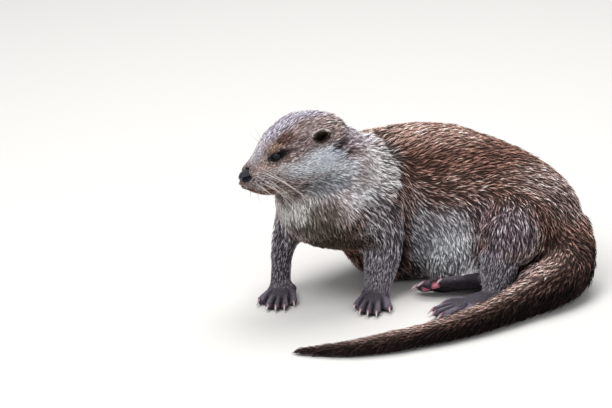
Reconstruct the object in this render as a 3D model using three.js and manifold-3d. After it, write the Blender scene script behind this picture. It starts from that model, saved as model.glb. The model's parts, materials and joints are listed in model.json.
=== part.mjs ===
// River otter, Lutra lutra, resting on the floor with its head turned: a still, life-size model.
// Millimetres, +Z up. The otter sits in a bow: its chest and face are towards -Y, its rump is
// at +X, and the tail sweeps from the rump round the -Y side to a point near -X.
// All shapes run out to the tips of the coat. "Left" and "right" are the otter's own.
import * as THREE from "three";
import { mergeVertices } from "three/addons/utils/BufferGeometryUtils.js";
import Module from "manifold-3d";

const wasm = await Module();
wasm.setup();

// ---------- Driving dimensions ----------
const GAP = 0.3; // air between two pieces that meet
const WELD = 1e-4; // corners closer than this are one
const HEAD_AT = [-130, -20, 208]; // between the ears
const HEAD_TURN = 202; // degrees from +X, seen from above
const HEAD_DIP = 15; // degrees that the nose points down
const HEAD_ROLL = 6;
const MUZZLE_LENGTH = 96; // from between the ears to the nose
const EYE_RADIUS = 5.6;
const EYE_AT = [53, 25, 9];
const EAR_AT = [-1, 44, 17];

const UP = [0, 0, 1];

// ---------- Colours ----------
const coat = (color) => new THREE.MeshStandardMaterial({ color, roughness: 0.85, metalness: 0 });
const BACK_COAT = coat(0x6f5646);
const FACE_COAT = coat(0x84695a);
const NECK_COAT = coat(0xa8988a);
const LEG_COAT = coat(0x64504a);
const TAIL_COAT = coat(0x5d4438);
const FOOT_SKIN = coat(0x4b3b3a);
const DARK_SKIN = new THREE.MeshStandardMaterial({ color: 0x2a2225, roughness: 0.45, metalness: 0 });
const EYE_BLACK = new THREE.MeshStandardMaterial({ color: 0x14100f, roughness: 0.05, metalness: 0 });
const CLAW_HORN = new THREE.MeshStandardMaterial({ color: 0xd2b3a4, roughness: 0.4, metalness: 0 });

// ---------- Solids ----------
// A closed geometry as a solid that can be joined and cut.
function toSolid(geometry) {
  const bare = geometry.clone();
  bare.deleteAttribute("normal");
  bare.deleteAttribute("uv");
  const merged = mergeVertices(bare, WELD);
  return new wasm.Manifold(
    new wasm.Mesh({
      numProp: 3,
      vertProperties: merged.attributes.position.array,
      triVerts: new Uint32Array(merged.index.array),
    }),
  );
}

function toGeometry(solid) {
  const mesh = solid.getMesh();
  const geometry = new THREE.BufferGeometry();
  geometry.setAttribute("position", new THREE.BufferAttribute(mesh.vertProperties, 3));
  geometry.setIndex(new THREE.BufferAttribute(mesh.triVerts, 1));
  geometry.computeVertexNormals();
  return geometry;
}

// The same solid with its surface moved outwards, to cut a neighbour with clearance.
function swell(solid, by) {
  const geometry = toGeometry(solid);
  const position = geometry.attributes.position;
  const normal = geometry.attributes.normal;
  for (let i = 0; i < position.count; i++)
    position.setXYZ(
      i,
      position.getX(i) + normal.getX(i) * by,
      position.getY(i) + normal.getY(i) * by,
      position.getZ(i) + normal.getZ(i) * by,
    );
  return toSolid(geometry);
}

const join = (first, ...others) => others.reduce((all, one) => all.add(one), first);

const largest = (solid) =>
  solid.decompose().reduce((best, one) => (one.volume() > best.volume() ? one : best));

// A solid less its neighbours, with a gap round each, kept to its main body.
function carve(solid, ...neighbours) {
  return largest(neighbours.reduce((left, one) => left.subtract(swell(one, GAP)), solid));
}

const FLOOR_SIDE = 900;
const FLOOR_HALF_DEPTH = 100;
const belowFloor = toSolid(
  new THREE.BoxGeometry(FLOOR_SIDE, FLOOR_SIDE, 2 * FLOOR_HALF_DEPTH).translate(0, 0, -FLOOR_HALF_DEPTH),
);
const onFloor = (solid) => largest(solid.subtract(belowFloor));

// ---------- Shapes ----------
// The smooth value at t, from 0 to 1, of a list of evenly spaced numbers.
function smooth(values, t) {
  const last = values.length - 1;
  const i = Math.min(Math.floor(t * last), last - 1);
  const f = t * last - i;
  const [a, b, c, d] = [-1, 0, 1, 2].map((k) => values[THREE.MathUtils.clamp(i + k, 0, last)]);
  return b + 0.5 * f * (c - a + f * (2 * a - 5 * b + 4 * c - d + f * (3 * (b - c) + d - a)));
}

// How full a round end is at a distance from its tip.
const rounding = (distance, length) => Math.sqrt(1 - (1 - Math.min(distance / length, 1)) ** 2);

const CROWDING = 0.55; // how much closer the rings of a round end stand
const STEP = 1e-3; // of a tube's length, to find which way it runs

const superellipse = (v, power) => Math.sign(v) * Math.abs(v) ** (2 / power);

// A closed tube of oval rings through a list of stations. A station's at is its centre, side its half
// width, and up and down its reach above and below the centre; power above 2 squares the oval.
// A round end closes like half an egg, of that length, and its rings stand closer together.
function tube(stations, options) {
  const { rings = 10, around = 18, roundStart = 0, roundEnd = 0, facing = UP, swellings = [] } = options;
  const track = (pick) => stations.map(pick);
  const at = [0, 1, 2].map((axis) => track((s) => s.at[axis]));
  const side = track((s) => s.side);
  const up = track((s) => s.up ?? s.side);
  const down = track((s) => s.down ?? s.up ?? s.side);
  const power = track((s) => s.power ?? 2);
  const centre = (t) => new THREE.Vector3(...at.map((values) => smooth(values, t)));
  const lean = new THREE.Vector3(...facing);
  const points = [];
  const startRound = roundStart > 0;
  const endRound = roundEnd > 0;
  const reach = (a, b) => centre(a).distanceTo(centre(b));
  const placed = [];
  for (let i = 0; i <= rings; i++) {
    const u = i / rings;
    if ((i === 0 && startRound) || (i === rings && endRound)) continue;
    let eased = u;
    if (startRound && endRound) eased = (1 - Math.cos(Math.PI * u)) / 2;
    else if (startRound) eased = 1 - Math.cos((Math.PI * u) / 2);
    else if (endRound) eased = Math.sin((Math.PI * u) / 2);
    placed.push(THREE.MathUtils.lerp(u, eased, CROWDING));
  }
  for (const t of placed) {
    const middle = centre(t);
    const along = centre(Math.min(t + STEP, 1)).sub(centre(Math.max(t - STEP, 0))).normalize();
    const across = new THREE.Vector3().crossVectors(along, lean).normalize();
    const above = new THREE.Vector3().crossVectors(across, along);
    let scale = 1;
    if (startRound) scale *= rounding(reach(t, 0), roundStart);
    if (endRound) scale *= rounding(reach(t, 1), roundEnd);
    const p = smooth(power, t);
    for (let j = 0; j < around; j++) {
      const angle = (2 * Math.PI * j) / around;
      const sideways = superellipse(Math.cos(angle), p) * smooth(side, t) * scale;
      const upright = superellipse(Math.sin(angle), p) * smooth(angle < Math.PI ? up : down, t) * scale;
      const outwards = across.clone().multiplyScalar(sideways).addScaledVector(above, upright);
      const point = middle.clone().add(outwards);
      outwards.normalize();
      for (const { near, width, push } of swellings) {
        const distance = point.distanceTo(new THREE.Vector3(...near));
        point.addScaledVector(outwards, push * Math.exp(-((distance / width) ** 2)));
      }
      points.push(point);
    }
  }
  const ringCount = placed.length;
  const first = points.push(centre(0)) - 1;
  const last = points.push(centre(1)) - 1;
  const index = [];
  for (let j = 0; j < around; j++) {
    const next = (j + 1) % around;
    for (let i = 0; i < ringCount - 1; i++) {
      const [a, b] = [i * around + j, i * around + next];
      index.push(a, b + around, b, a, a + around, b + around);
    }
    const end = (ringCount - 1) * around;
    index.push(first, j, next, last, end + next, end + j);
  }
  const geometry = new THREE.BufferGeometry().setFromPoints(points);
  geometry.setIndex(index);
  return toSolid(geometry);
}

// An egg-shaped solid with three radii, turned by Euler angles in degrees.
function egg(at, radii, { turn = [0, 0, 0], across = 12, down = 8 } = {}) {
  const geometry = new THREE.SphereGeometry(1, across, down).scale(...radii);
  const [x, y, z] = turn.map(THREE.MathUtils.degToRad);
  geometry.applyMatrix4(new THREE.Matrix4().makeRotationFromEuler(new THREE.Euler(x, y, z)));
  return toSolid(geometry.translate(...at));
}

// A thin square slab across a direction, to part what it passes through.
function slab({ at, facing, width }) {
  const turn = new THREE.Quaternion().setFromUnitVectors(
    new THREE.Vector3(...UP),
    new THREE.Vector3(...facing).normalize(),
  );
  const geometry = new THREE.BoxGeometry(width, width, GAP).applyQuaternion(turn);
  return toSolid(geometry.translate(...at));
}

// ---------- Scene graph ----------
const otter = new THREE.Group();

function piece(name, solid, material) {
  const mesh = new THREE.Mesh(toGeometry(solid), material);
  mesh.name = name;
  otter.add(mesh);
}

// A solid carried from its own frame to its place on the body.
function inBody(solid, place) {
  place.updateMatrix();
  return toSolid(toGeometry(solid).applyMatrix4(place.matrix));
}

// ---------- Head, in its own frame: +X to the nose, origin between the ears ----------
const SKULL = [
  { at: [-46, 0, -8], side: 45, up: 39, down: 42 },
  { at: [-14, 0, -5], side: 48, up: 40, down: 46, power: 2.1 },
  { at: [10, 0, -4], side: 47, up: 45.5, down: 43, power: 2.2 },
  { at: [30, 0, -5], side: 41, up: 42, down: 37, power: 2.3 },
  { at: [47, 0, -7], side: 33, up: 36, down: 31, power: 2.3 },
  { at: [62, 0, -9], side: 28, up: 25, down: 26, power: 2.3 },
  { at: [78, 0, -12], side: 25, up: 16, down: 21, power: 2.4 },
  { at: [MUZZLE_LENGTH, 0, -15], side: 19, up: 13, down: 14, power: 2.5 },
];

const SIDES = [
  ["left", 1],
  ["right", -1],
];

const FACE_FORMS = SIDES.flatMap(([, s]) => [
  { near: [76, s * 22, -16], width: 12, push: 3.5 }, // whisker pad
  { near: [54, s * 21, 19], width: 9, push: 3 }, // brow
  { near: [54, s * 30, 7], width: 8, push: -3.5 }, // eye hollow
  { near: [32, s * 42, -18], width: 20, push: 3 }, // cheek
]);

const NOSE = { back: 8, drop: 4, radii: [7, 11, 8], tip: 15 };
const NOSTRIL = { ahead: 4, aside: 7, above: 0.5, radii: [5, 2.1, 2.6], turn: 38 };

// The bare nose pad, with a nostril on each side.
function nose() {
  const [x, z] = [MUZZLE_LENGTH - NOSE.back, -NOSE.drop];
  const pad = egg([x, 0, z], NOSE.radii, { turn: [0, NOSE.tip, 0], across: 10, down: 6 });
  const { ahead, aside, above, radii, turn } = NOSTRIL;
  const nostrils = SIDES.map(([, s]) =>
    egg([x + ahead, s * aside, z + above], radii, { turn: [0, 0, s * turn], across: 6, down: 4 }),
  );
  return nostrils.reduce((left, one) => left.subtract(one), pad);
}

// The chin and lower lip, under the whisker pads.
function lowerJaw() {
  const stations = [
    { at: [30, 0, -38], side: 24, up: 7, down: 9 },
    { at: [52, 0, -37], side: 20, up: 7, down: 7.5 },
    { at: [72, 0, -33], side: 16, up: 6, down: 6.5 },
    { at: [93, 0, -24], side: 12, up: 6, down: 6.5 },
  ];
  return tube(stations, { rings: 7, around: 12, roundStart: 10, roundEnd: 8 });
}

const EAR_RADII = [5.5, 10.5, 9.5];
const EAR_TURN = [-28, -14, 22]; // of the left ear
const CUP_RADII = [5, 7, 6.5];
const CUP_SHIFT = [5, 1.5, 0.5]; // from the middle of the ear

// A small round ear, cupped towards the front.
function ear(s) {
  const [x, y, z] = EAR_AT;
  const [roll, pitch, yaw] = EAR_TURN;
  const turn = [s * roll, pitch, s * yaw];
  const [ahead, aside, above] = CUP_SHIFT;
  const shell = egg([x, s * y, z], EAR_RADII, { turn, across: 10, down: 7 });
  const cup = egg([x + ahead, s * (y + aside), z + above], CUP_RADII, { turn, across: 8, down: 5 });
  return shell.subtract(cup);
}

const eye = (s) => egg([EYE_AT[0], s * EYE_AT[1], EYE_AT[2]], Array(3).fill(EYE_RADIUS), { across: 10, down: 6 });

function head() {
  const place = new THREE.Group();
  place.position.set(...HEAD_AT);
  place.rotation.order = "ZYX";
  place.rotation.set(...[HEAD_ROLL, HEAD_DIP, HEAD_TURN].map(THREE.MathUtils.degToRad));
  const skull = tube(SKULL, { rings: 15, around: 20, roundStart: 34, roundEnd: 11, swellings: FACE_FORMS });
  return { place, skull };
}

// ---------- Neck, trunk and tail ----------
const NECK = [
  { at: [-122, -16, 204], side: 47, up: 46, down: 42 },
  { at: [-115, -8, 186], side: 57, up: 51, down: 48 },
  { at: [-108, 2, 166], side: 63, up: 53, down: 54 },
  { at: [-104, 8, 144], side: 63, up: 50, down: 56 },
];
const WITHERS = { at: [-103, 8, 130], radii: [75, 64, 66], turn: [0, 0, 20] };

const TRUNK = [
  { at: [-102, -40, 126], side: 60, up: 58, down: 50 },
  { at: [-99, -8, 126], side: 66, up: 62, down: 60 },
  { at: [-88, 26, 122], side: 64, up: 72, down: 66 },
  { at: [-66, 62, 117], side: 64, up: 75, down: 88 },
  { at: [-24, 92, 108], side: 66, up: 82, down: 114, power: 2.4 },
  { at: [28, 108, 102], side: 68, up: 86, down: 108, power: 2.2 },
  { at: [78, 105, 94], side: 69, up: 78, down: 92 },
  { at: [120, 90, 83], side: 68, up: 73, down: 82 },
  { at: [154, 70, 69], side: 58, up: 64, down: 70 },
  { at: [184, 50, 52], side: 42, up: 42, down: 54 },
];

const TRUNK_FORMS = [
  { near: [-50, -10, 110], width: 42, push: 6 }, // left shoulder
  { near: [110, 20, 90], width: 45, push: 8 }, // left haunch
  { near: [196, 60, 24], width: 42, push: 9 }, // seat
];

const TAIL = [
  { at: [172, 72, 64], side: 44, up: 44, down: 62 },
  { at: [185, 37, 42], side: 38, up: 38, down: 46 },
  { at: [178, 3, 32], side: 34, up: 31, down: 36 },
  { at: [154, -29, 26], side: 30, up: 27, down: 30 },
  { at: [122, -60, 22], side: 24, up: 23, down: 25 },
  { at: [92, -90, 19], side: 20, up: 20, down: 21 },
  { at: [52, -121, 16.5], side: 17.5, up: 17, down: 18 },
  { at: [8, -147, 15], side: 16, up: 14, down: 16 },
  { at: [-36, -167, 13.5], side: 14, up: 12, down: 14.5 },
  { at: [-80, -180, 11], side: 12, up: 9.5, down: 12 },
  { at: [-120, -181, 7.5], side: 8.5, up: 7, down: 8.5 },
  { at: [-155, -177, 4.5], side: 4, up: 4, down: 5 },
];

// Where the body is parted: a point on the seam, the way that the seam faces, and its width.
const SEAMS = [
  { at: [-144, -25, 150], facing: [0.59, 0.24, -0.77], width: 220 }, // head and neck
  { at: [-98, 12, 142], facing: [0.5, 0.42, -0.75], width: 190 }, // neck and chest
  { at: [-16, 96, 105], facing: [0.9, 0.44, 0], width: 230 }, // chest and loins
  { at: [92, 101, 90], facing: [0.95, -0.3, 0], width: 220 }, // loins and rump
  { at: [176, 40, 40], facing: [0.25, -0.85, -0.4], width: 150 }, // rump and tail
  { at: [92, -92, 19], facing: [-0.7, -0.7, 0], width: 70 },
  { at: [-20, -166, 13], facing: [-0.9, -0.43, 0], width: 60 },
];
// A point inside each part.
const HEAD_INSIDE = [-160, -32, 200];
const NECK_INSIDE = [-110, 0, 160];
const TRUNK_PARTS = [
  ["chest", [-80, 40, 110], NECK_COAT],
  ["loins", [40, 108, 100], BACK_COAT],
  ["rump", [130, 85, 80], BACK_COAT],
  ["tail_base", [140, -40, 25], TAIL_COAT],
  ["tail_middle", [30, -140, 15], TAIL_COAT],
  ["tail_end", [-90, -186, 10], TAIL_COAT],
];

// ---------- Legs ----------
const LEFT_FORELEG = [
  { at: [-58, 0, 130], side: 36, up: 34, down: 34 },
  { at: [-50, 2, 98], side: 33, up: 30, down: 32 },
  { at: [-44, 6, 66], side: 27, up: 24, down: 28 },
  { at: [-46.5, -1, 38], side: 21, up: 18, down: 21 },
  { at: [-51, -8, 16], side: 16, up: 14, down: 15 },
];
const RIGHT_FORELEG = [
  { at: [-140, 0, 128], side: 34, up: 32, down: 32 },
  { at: [-154, 8, 94], side: 23, up: 26, down: 28 },
  { at: [-165, 14, 62], side: 15.5, up: 18, down: 22 },
  { at: [-167, 12, 38], side: 12.5, up: 15, down: 17 },
  { at: [-168, 8, 16], side: 13, up: 13, down: 14 },
];
const LEFT_THIGH = [
  { at: [140, 62, 98], side: 44, up: 48, down: 48 },
  { at: [124, 36, 84], side: 42, up: 50, down: 50 },
  { at: [108, 18, 66], side: 37, up: 44, down: 40 },
  { at: [96, 8, 48], side: 27, up: 34, down: 30 },
];
const LEFT_SHANK = [
  { at: [97, 8, 58], side: 25, up: 24, down: 24 },
  { at: [96, -1, 38], side: 22, up: 20, down: 20 },
  { at: [93, -8, 18], side: 17, up: 14, down: 14 },
  { at: [90, -12, 9], side: 14, up: 10, down: 12 },
];
const RIGHT_THIGH = [
  { at: [96, 70, 58], side: 40, up: 40, down: 40 },
  { at: [66, 57, 44], side: 34, up: 34, down: 34 },
  { at: [36, 43, 36], side: 27, up: 26, down: 34 },
  { at: [12, 36, 32], side: 20, up: 20, down: 28 },
];
const RIGHT_SHANK = [
  { at: [44, 42, 28], side: 19, up: 18, down: 18 },
  { at: [64, 30, 22], side: 15, up: 14, down: 15 },
  { at: [80, 16, 16], side: 12, up: 10, down: 11 },
];

// ---------- Feet, each in its own frame: +X to the toes, origin on the floor under the ankle ----------
const FORE_FOOT = { palm: 30, width: 19, height: 19, heel: 0.86, toe: 29, toeRadius: 5, fan: 10, claw: 8 };
const HIND_FOOT = { palm: 50, width: 18, height: 18, heel: 0.72, toe: 34, toeRadius: 5.4, fan: 8, claw: 8 };
// Each toe from the inner one outwards: its share of the foot's reach, and how far it is splayed.
const TOES = [
  { share: 0.66, splay: -1.8 },
  { share: 0.93, splay: -0.85 },
  { share: 1, splay: -0.15 },
  { share: 0.98, splay: 0.55 },
  { share: 0.74, splay: 1.8 },
];

// s is 1 for a left foot and -1 for a right one.
function foot(name, s, size, at, turn) {
  const { palm, width, height, heel, toe, toeRadius: r, fan, claw } = size;
  const place = new THREE.Group();
  place.position.set(...at);
  place.rotation.order = "ZYX";
  place.rotation.set(...turn.map(THREE.MathUtils.degToRad));
  const sole = tube(
    [
      { at: [-12, 0, height * 0.5], side: width * heel, up: height * 0.4, down: height * 0.52 },
      { at: [palm * 0.3, 0, height * 0.45], side: width * (heel + 0.1), up: height * 0.46, down: height * 0.47 },
      { at: [palm * 0.75, 0, height * 0.36], side: width * 0.98, up: height * 0.36, down: height * 0.38 },
      { at: [palm + toe * 0.4, 0, r * 0.8], side: width, up: 2, down: 2.5 },
    ],
    { rings: 5, around: 10, roundStart: 8, roundEnd: 7 },
  );
  let flesh = sole;
  const claws = [];
  for (const { share, splay } of TOES) {
    const angle = THREE.MathUtils.degToRad(s * splay * fan);
    const root = [palm * 0.45, s * splay * width * 0.36];
    const ray = (reach, z) => [root[0] + Math.cos(angle) * reach, root[1] + Math.sin(angle) * reach, z];
    const length = (palm + toe) * share - root[0];
    const toeStations = [
      { at: ray(0, r + 2), side: r * 1.05 },
      { at: ray(length * 0.6, r + 1.8), side: r * 0.9, down: r },
      { at: ray(length, r - 0.6), side: r * 0.95, up: r * 0.8, down: r * 0.9 },
    ];
    const clawStations = [
      { at: ray(length - 5, r + 1.6), side: 1.8 },
      { at: ray(length + claw * 0.4, r + 1), side: 1.4 },
      { at: ray(length + claw, 1.6), side: 0.6 },
    ];
    flesh = flesh.add(tube(toeStations, { rings: 3, around: 7, roundEnd: r }));
    claws.push(tube(clawStations, { rings: 2, around: 5 }));
  }
  return {
    name,
    flesh: onFloor(inBody(flesh, place)),
    claws: claws.map((one) => onFloor(inBody(one, place))),
  };
}

// ---------- Assembly ----------
const { place: headPlace, skull } = head();
const trunk = tube(TRUNK, { rings: 18, around: 22, roundStart: 30, roundEnd: 24, swellings: TRUNK_FORMS });
const neckTube = tube(NECK, { rings: 5, around: 18, roundEnd: 40, roundStart: 10 });
const withers = egg(WITHERS.at, WITHERS.radii, { turn: WITHERS.turn, across: 16, down: 10 });
const tail = tube(TAIL, { rings: 18, around: 12, roundEnd: 6 });
const axial = onFloor(join(trunk, withers, neckTube, tail, inBody(skull, headPlace)));
const axialParts = axial.subtract(join(...SEAMS.map(slab))).decompose();
const PROBE = [2, 2, 2]; // radii of the ball that picks a part
const axialPart = (inside) => axialParts.find((one) => one.intersect(egg(inside, PROBE)).volume() > 0);

const nosePad = inBody(nose(), headPlace);
const jaw = inBody(lowerJaw(), headPlace);
const eyes = SIDES.map(([side, s]) => [side, inBody(eye(s), headPlace)]);
const face = eyes.reduce(
  (left, [, one]) => left.subtract(swell(one, GAP)),
  carve(axialPart(HEAD_INSIDE), nosePad, jaw),
);
piece("head", face, FACE_COAT);
piece("lower_jaw", jaw, NECK_COAT);
piece("nose", nosePad, DARK_SKIN);
for (const [side, one] of eyes) piece("eye_" + side, one, EYE_BLACK);
for (const [side, s] of SIDES)
  piece("ear_" + side, carve(inBody(ear(s), headPlace), face), FACE_COAT);

piece("neck", carve(axialPart(NECK_INSIDE), jaw), NECK_COAT);
for (const [name, inside, material] of TRUNK_PARTS) piece(name, axialPart(inside), material);

const feet = [
  foot("forepaw_left", 1, FORE_FOOT, [-52, -6, 0], [0, 0, 262]),
  foot("forepaw_right", -1, FORE_FOOT, [-165, 12, 0], [0, 0, 260]),
  foot("hind_foot_left", 1, HIND_FOOT, [83, -18, 0], [0, 0, 218]),
  foot("hind_foot_right", -1, HIND_FOOT, [81, 8, 12], [35, 3, 184]),
];
const fleshOf = Object.fromEntries(feet.map(({ name, flesh }) => [name, flesh]));

const LEG_FACING = [0, -1, 0];
const leg = (stations, options) => onFloor(tube(stations, { facing: LEG_FACING, ...options }));
const thighLeft = carve(tube(LEFT_THIGH, { rings: 7, around: 14, roundStart: 30, roundEnd: 14 }), axial);
const thighRight = carve(
  leg(RIGHT_THIGH, { facing: UP, rings: 6, around: 12, roundStart: 20, roundEnd: 22 }),
  axial,
  thighLeft,
  fleshOf.hind_foot_right,
);
const legs = {
  foreleg_left: carve(
    leg(LEFT_FORELEG, { rings: 7, around: 12, roundStart: 24 }),
    axial,
    fleshOf.forepaw_left,
  ),
  foreleg_right: carve(
    leg(RIGHT_FORELEG, { rings: 7, around: 12, roundStart: 24 }),
    axial,
    fleshOf.forepaw_right,
  ),
  shank_left: carve(
    leg(LEFT_SHANK, { rings: 4, around: 10, roundEnd: 6 }),
    thighLeft,
    thighRight,
    fleshOf.hind_foot_left,
    fleshOf.hind_foot_right,
    axial,
  ),
  shank_right: carve(
    leg(RIGHT_SHANK, { rings: 4, around: 10, roundEnd: 6 }),
    thighRight,
    thighLeft,
    fleshOf.hind_foot_right,
    axial,
  ),
};
for (const [name, solid] of Object.entries(legs)) piece(name, solid, LEG_COAT);
piece("thigh_left", thighLeft, BACK_COAT);
piece("thigh_right", thighRight, NECK_COAT);

for (const { name, flesh, claws } of feet) {
  piece(name, flesh, FOOT_SKIN);
  claws.forEach((one, i) => piece(name + "_claw_" + (i + 1), carve(one, flesh), CLAW_HORN));
}

// The origin is the middle of the foot of the otter's box.
const middle = new THREE.Box3().setFromObject(otter).getCenter(new THREE.Vector3());
for (const mesh of otter.children) mesh.geometry.translate(-middle.x, -middle.y, 0);

export default otter;
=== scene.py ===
import json
import math
from contextlib import contextmanager

import bmesh
import bpy
import numpy as np
from mathutils import Euler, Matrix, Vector, noise
from mathutils.bvhtree import BVHTree

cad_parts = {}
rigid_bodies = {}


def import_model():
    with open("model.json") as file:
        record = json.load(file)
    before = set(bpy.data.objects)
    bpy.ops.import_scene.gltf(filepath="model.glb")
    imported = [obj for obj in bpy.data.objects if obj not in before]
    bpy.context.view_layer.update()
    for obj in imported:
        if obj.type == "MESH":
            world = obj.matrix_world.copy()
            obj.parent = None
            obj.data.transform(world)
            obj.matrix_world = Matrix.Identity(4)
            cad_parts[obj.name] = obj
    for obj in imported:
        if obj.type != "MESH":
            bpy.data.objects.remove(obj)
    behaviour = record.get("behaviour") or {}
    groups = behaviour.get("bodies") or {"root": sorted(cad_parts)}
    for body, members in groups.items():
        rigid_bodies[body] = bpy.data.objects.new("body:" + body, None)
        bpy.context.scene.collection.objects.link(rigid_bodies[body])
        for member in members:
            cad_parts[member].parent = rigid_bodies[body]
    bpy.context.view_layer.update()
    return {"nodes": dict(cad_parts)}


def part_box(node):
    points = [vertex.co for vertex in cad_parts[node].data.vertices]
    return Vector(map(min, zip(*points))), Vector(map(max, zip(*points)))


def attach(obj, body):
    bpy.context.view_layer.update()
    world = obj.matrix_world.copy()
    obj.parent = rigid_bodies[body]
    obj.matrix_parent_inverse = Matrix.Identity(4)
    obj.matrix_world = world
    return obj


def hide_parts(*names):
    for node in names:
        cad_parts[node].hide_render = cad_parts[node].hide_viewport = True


# River otter, Lutra lutra: one skin over the solids' flesh, dressed in locks of short wet fur.
# Metres, +Z up, in the frame of the solids; shapes are written in millimetres.
# "Left" and "right" are the otter's own.

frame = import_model()
nodes = frame["nodes"]
MM = 0.001
SIDES = (("left", 1), ("right", -1))  # with the sign of +Y in the head's frame
FEET = ("forepaw_left", "forepaw_right", "hind_foot_left", "hind_foot_right")
HEAD = ("head", "lower_jaw")
TRUNK = ("chest", "loins", "rump", "thigh_left", "thigh_right")
TAIL = ("tail_base", "tail_middle", "tail_end")
LEGS = ("foreleg_left", "foreleg_right", "shank_left", "shank_right")
FLESH = (
    "head", "lower_jaw", "neck", "chest", "loins", "rump", "tail_base", "tail_middle", "tail_end",
    "foreleg_left", "foreleg_right", "thigh_left", "thigh_right", "shank_left", "shank_right",
) + FEET
PART = {name: number for number, name in enumerate(FLESH)}


# ---------- Small helpers ----------
def middle(node):
    """The middle of a solid's box."""
    low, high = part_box(node)
    return np.array((low + high) / 2)


def fade(value, start, end):
    """0 at start, 1 at end, smooth between."""
    t = np.clip((value - start) / (end - start), 0, 1)
    return t * t * (3 - 2 * t)


def spot(points, place, reach):
    """A soft round patch: 1 at place, falling off over reach, which may differ along each axis."""
    return np.exp(-((((points - np.asarray(place)) / np.asarray(reach)) ** 2).sum(axis=1)))


def unit(vectors):
    """The vectors at length 1."""
    return vectors / np.maximum(np.linalg.norm(vectors, axis=-1, keepdims=True), 1e-12)


def flat_on(vectors, normals):
    """The part of each vector that lies in the surface, at length 1."""
    return unit(vectors - normals * (vectors * normals).sum(axis=1, keepdims=True))


def fold(points, *axes):
    """The points with these of their numbers made positive, so that one side stands for both."""
    points = np.array(points, float)
    points[:, axes] = np.abs(points[:, axes])
    return points


def distance_to_line(points, line):
    """Each point's distance to a broken line, and how far along the line its nearest place is."""
    line = np.asarray(line, float)
    best = np.full(len(points), np.inf)
    along = np.zeros(len(points))
    for number in range(len(line) - 1):
        start, way = line[number], line[number + 1] - line[number]
        t = np.clip(((points - start) @ way) / (way @ way), 0, 1)
        distance = np.linalg.norm(points - start - t[:, None] * way, axis=1)
        nearer = distance < best
        best[nearer] = distance[nearer]
        along[nearer] = number + t[nearer]
    return best, along


def add_object(name, data):
    piece = bpy.data.objects.new(name, data)
    bpy.context.scene.collection.objects.link(piece)
    return piece


def make_active(piece):
    bpy.ops.object.select_all(action="DESELECT")
    piece.select_set(True)
    bpy.context.view_layer.objects.active = piece


@contextmanager
def editing(piece, kind="FACE", chosen=None):
    """Edit mode on a piece, with its chosen corners or faces selected, or else all of it."""
    make_active(piece)
    bpy.ops.object.mode_set(mode="EDIT")
    bpy.ops.mesh.select_mode(type=kind)
    bpy.ops.mesh.select_all(action="SELECT" if chosen is None else "DESELECT")
    if chosen is not None:
        bpy.ops.object.mode_set(mode="OBJECT")
        items = piece.data.polygons if kind == "FACE" else piece.data.vertices
        items.foreach_set("select", chosen)
        bpy.ops.object.mode_set(mode="EDIT")
    yield
    bpy.ops.object.mode_set(mode="OBJECT")


def read(items, name, width, kind=np.float32):
    flat = np.empty(len(items) * width, kind)
    items.foreach_get(name, flat)
    return flat.reshape(-1, width) if width > 1 else flat


def points_of(mesh):
    return read(mesh.vertices, "co", 3).astype(float)


def normals_of(mesh):
    return read(mesh.vertices, "normal", 3).astype(float)


def edges_of(mesh):
    return read(mesh.edges, "vertices", 2, np.int32)


def put_points(mesh, points):
    mesh.vertices.foreach_set("co", np.asarray(points, np.float32).ravel())
    mesh.update()


def shade_smooth(mesh):
    mesh.polygons.foreach_set("use_smooth", np.ones(len(mesh.polygons), bool))


def surface_of(mesh):
    """A mesh's faces as a tree, to find the nearest place on them."""
    return BVHTree.FromPolygons([v.co for v in mesh.vertices], [tuple(p.vertices) for p in mesh.polygons])


def hand_in(piece, finish, slot, *replaced):
    """Gives a finished piece its material and its body, and hides the solids that it stands in for; its slot
    is not used.
    """
    piece.data.materials.clear()
    piece.data.materials.append(finish)
    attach(piece, "root")
    if replaced:
        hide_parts(*replaced)


def keep(mesh, name, values):
    """A number for each point, for a material to read."""
    column = mesh.attributes.new(name, "FLOAT", "POINT")
    column.data.foreach_set("value", np.asarray(values, np.float32))


def paint(mesh, colours):
    """A linear colour for each point, for a material to read."""
    rgba = np.concatenate([np.clip(colours, 0, 1), np.ones((len(colours), 1))], axis=1)
    column = mesh.color_attributes.new("marking", "FLOAT_COLOR", "POINT")
    column.data.foreach_set("color", rgba.astype(np.float32).ravel())


def relax(values, edges, weight, steps):
    """Draws the value at each point towards the mean of its neighbours, by its weight."""
    count, width = values.shape
    ends = np.concatenate([edges[:, 0], edges[:, 1]])
    others = np.concatenate([edges[:, 1], edges[:, 0]])
    valence = np.maximum(np.bincount(ends, minlength=count), 1)[:, None]
    pull = 0.5 * np.broadcast_to(np.asarray(weight, float).reshape(-1, 1), (count, 1))
    for _ in range(steps):
        total = [np.bincount(ends, values[others, k], minlength=count) for k in range(width)]
        values = values + (np.stack(total, axis=1) / valence - values) * pull
    return values


# ---------- The head's own frame: +X to the nose, +Y to its left, +Z up, origin between the ears ----------
HEAD_AXES = np.array(Euler([math.radians(a) for a in (6, 15, 202)], "XYZ").to_matrix())
AHEAD, HEAD_UP = HEAD_AXES[:, 0], HEAD_AXES[:, 2]
BETWEEN_EYES = np.array([53, 0, 9])  # where the middle between the eyes lies in it
HEAD_AT = (middle("eye_left") + middle("eye_right")) / 2 - HEAD_AXES @ (BETWEEN_EYES * MM)


def in_head(points):
    return (np.asarray(points) - HEAD_AT) @ HEAD_AXES / MM


def from_head(points):
    return HEAD_AT + (np.asarray(points, float) * MM) @ HEAD_AXES.T


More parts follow.
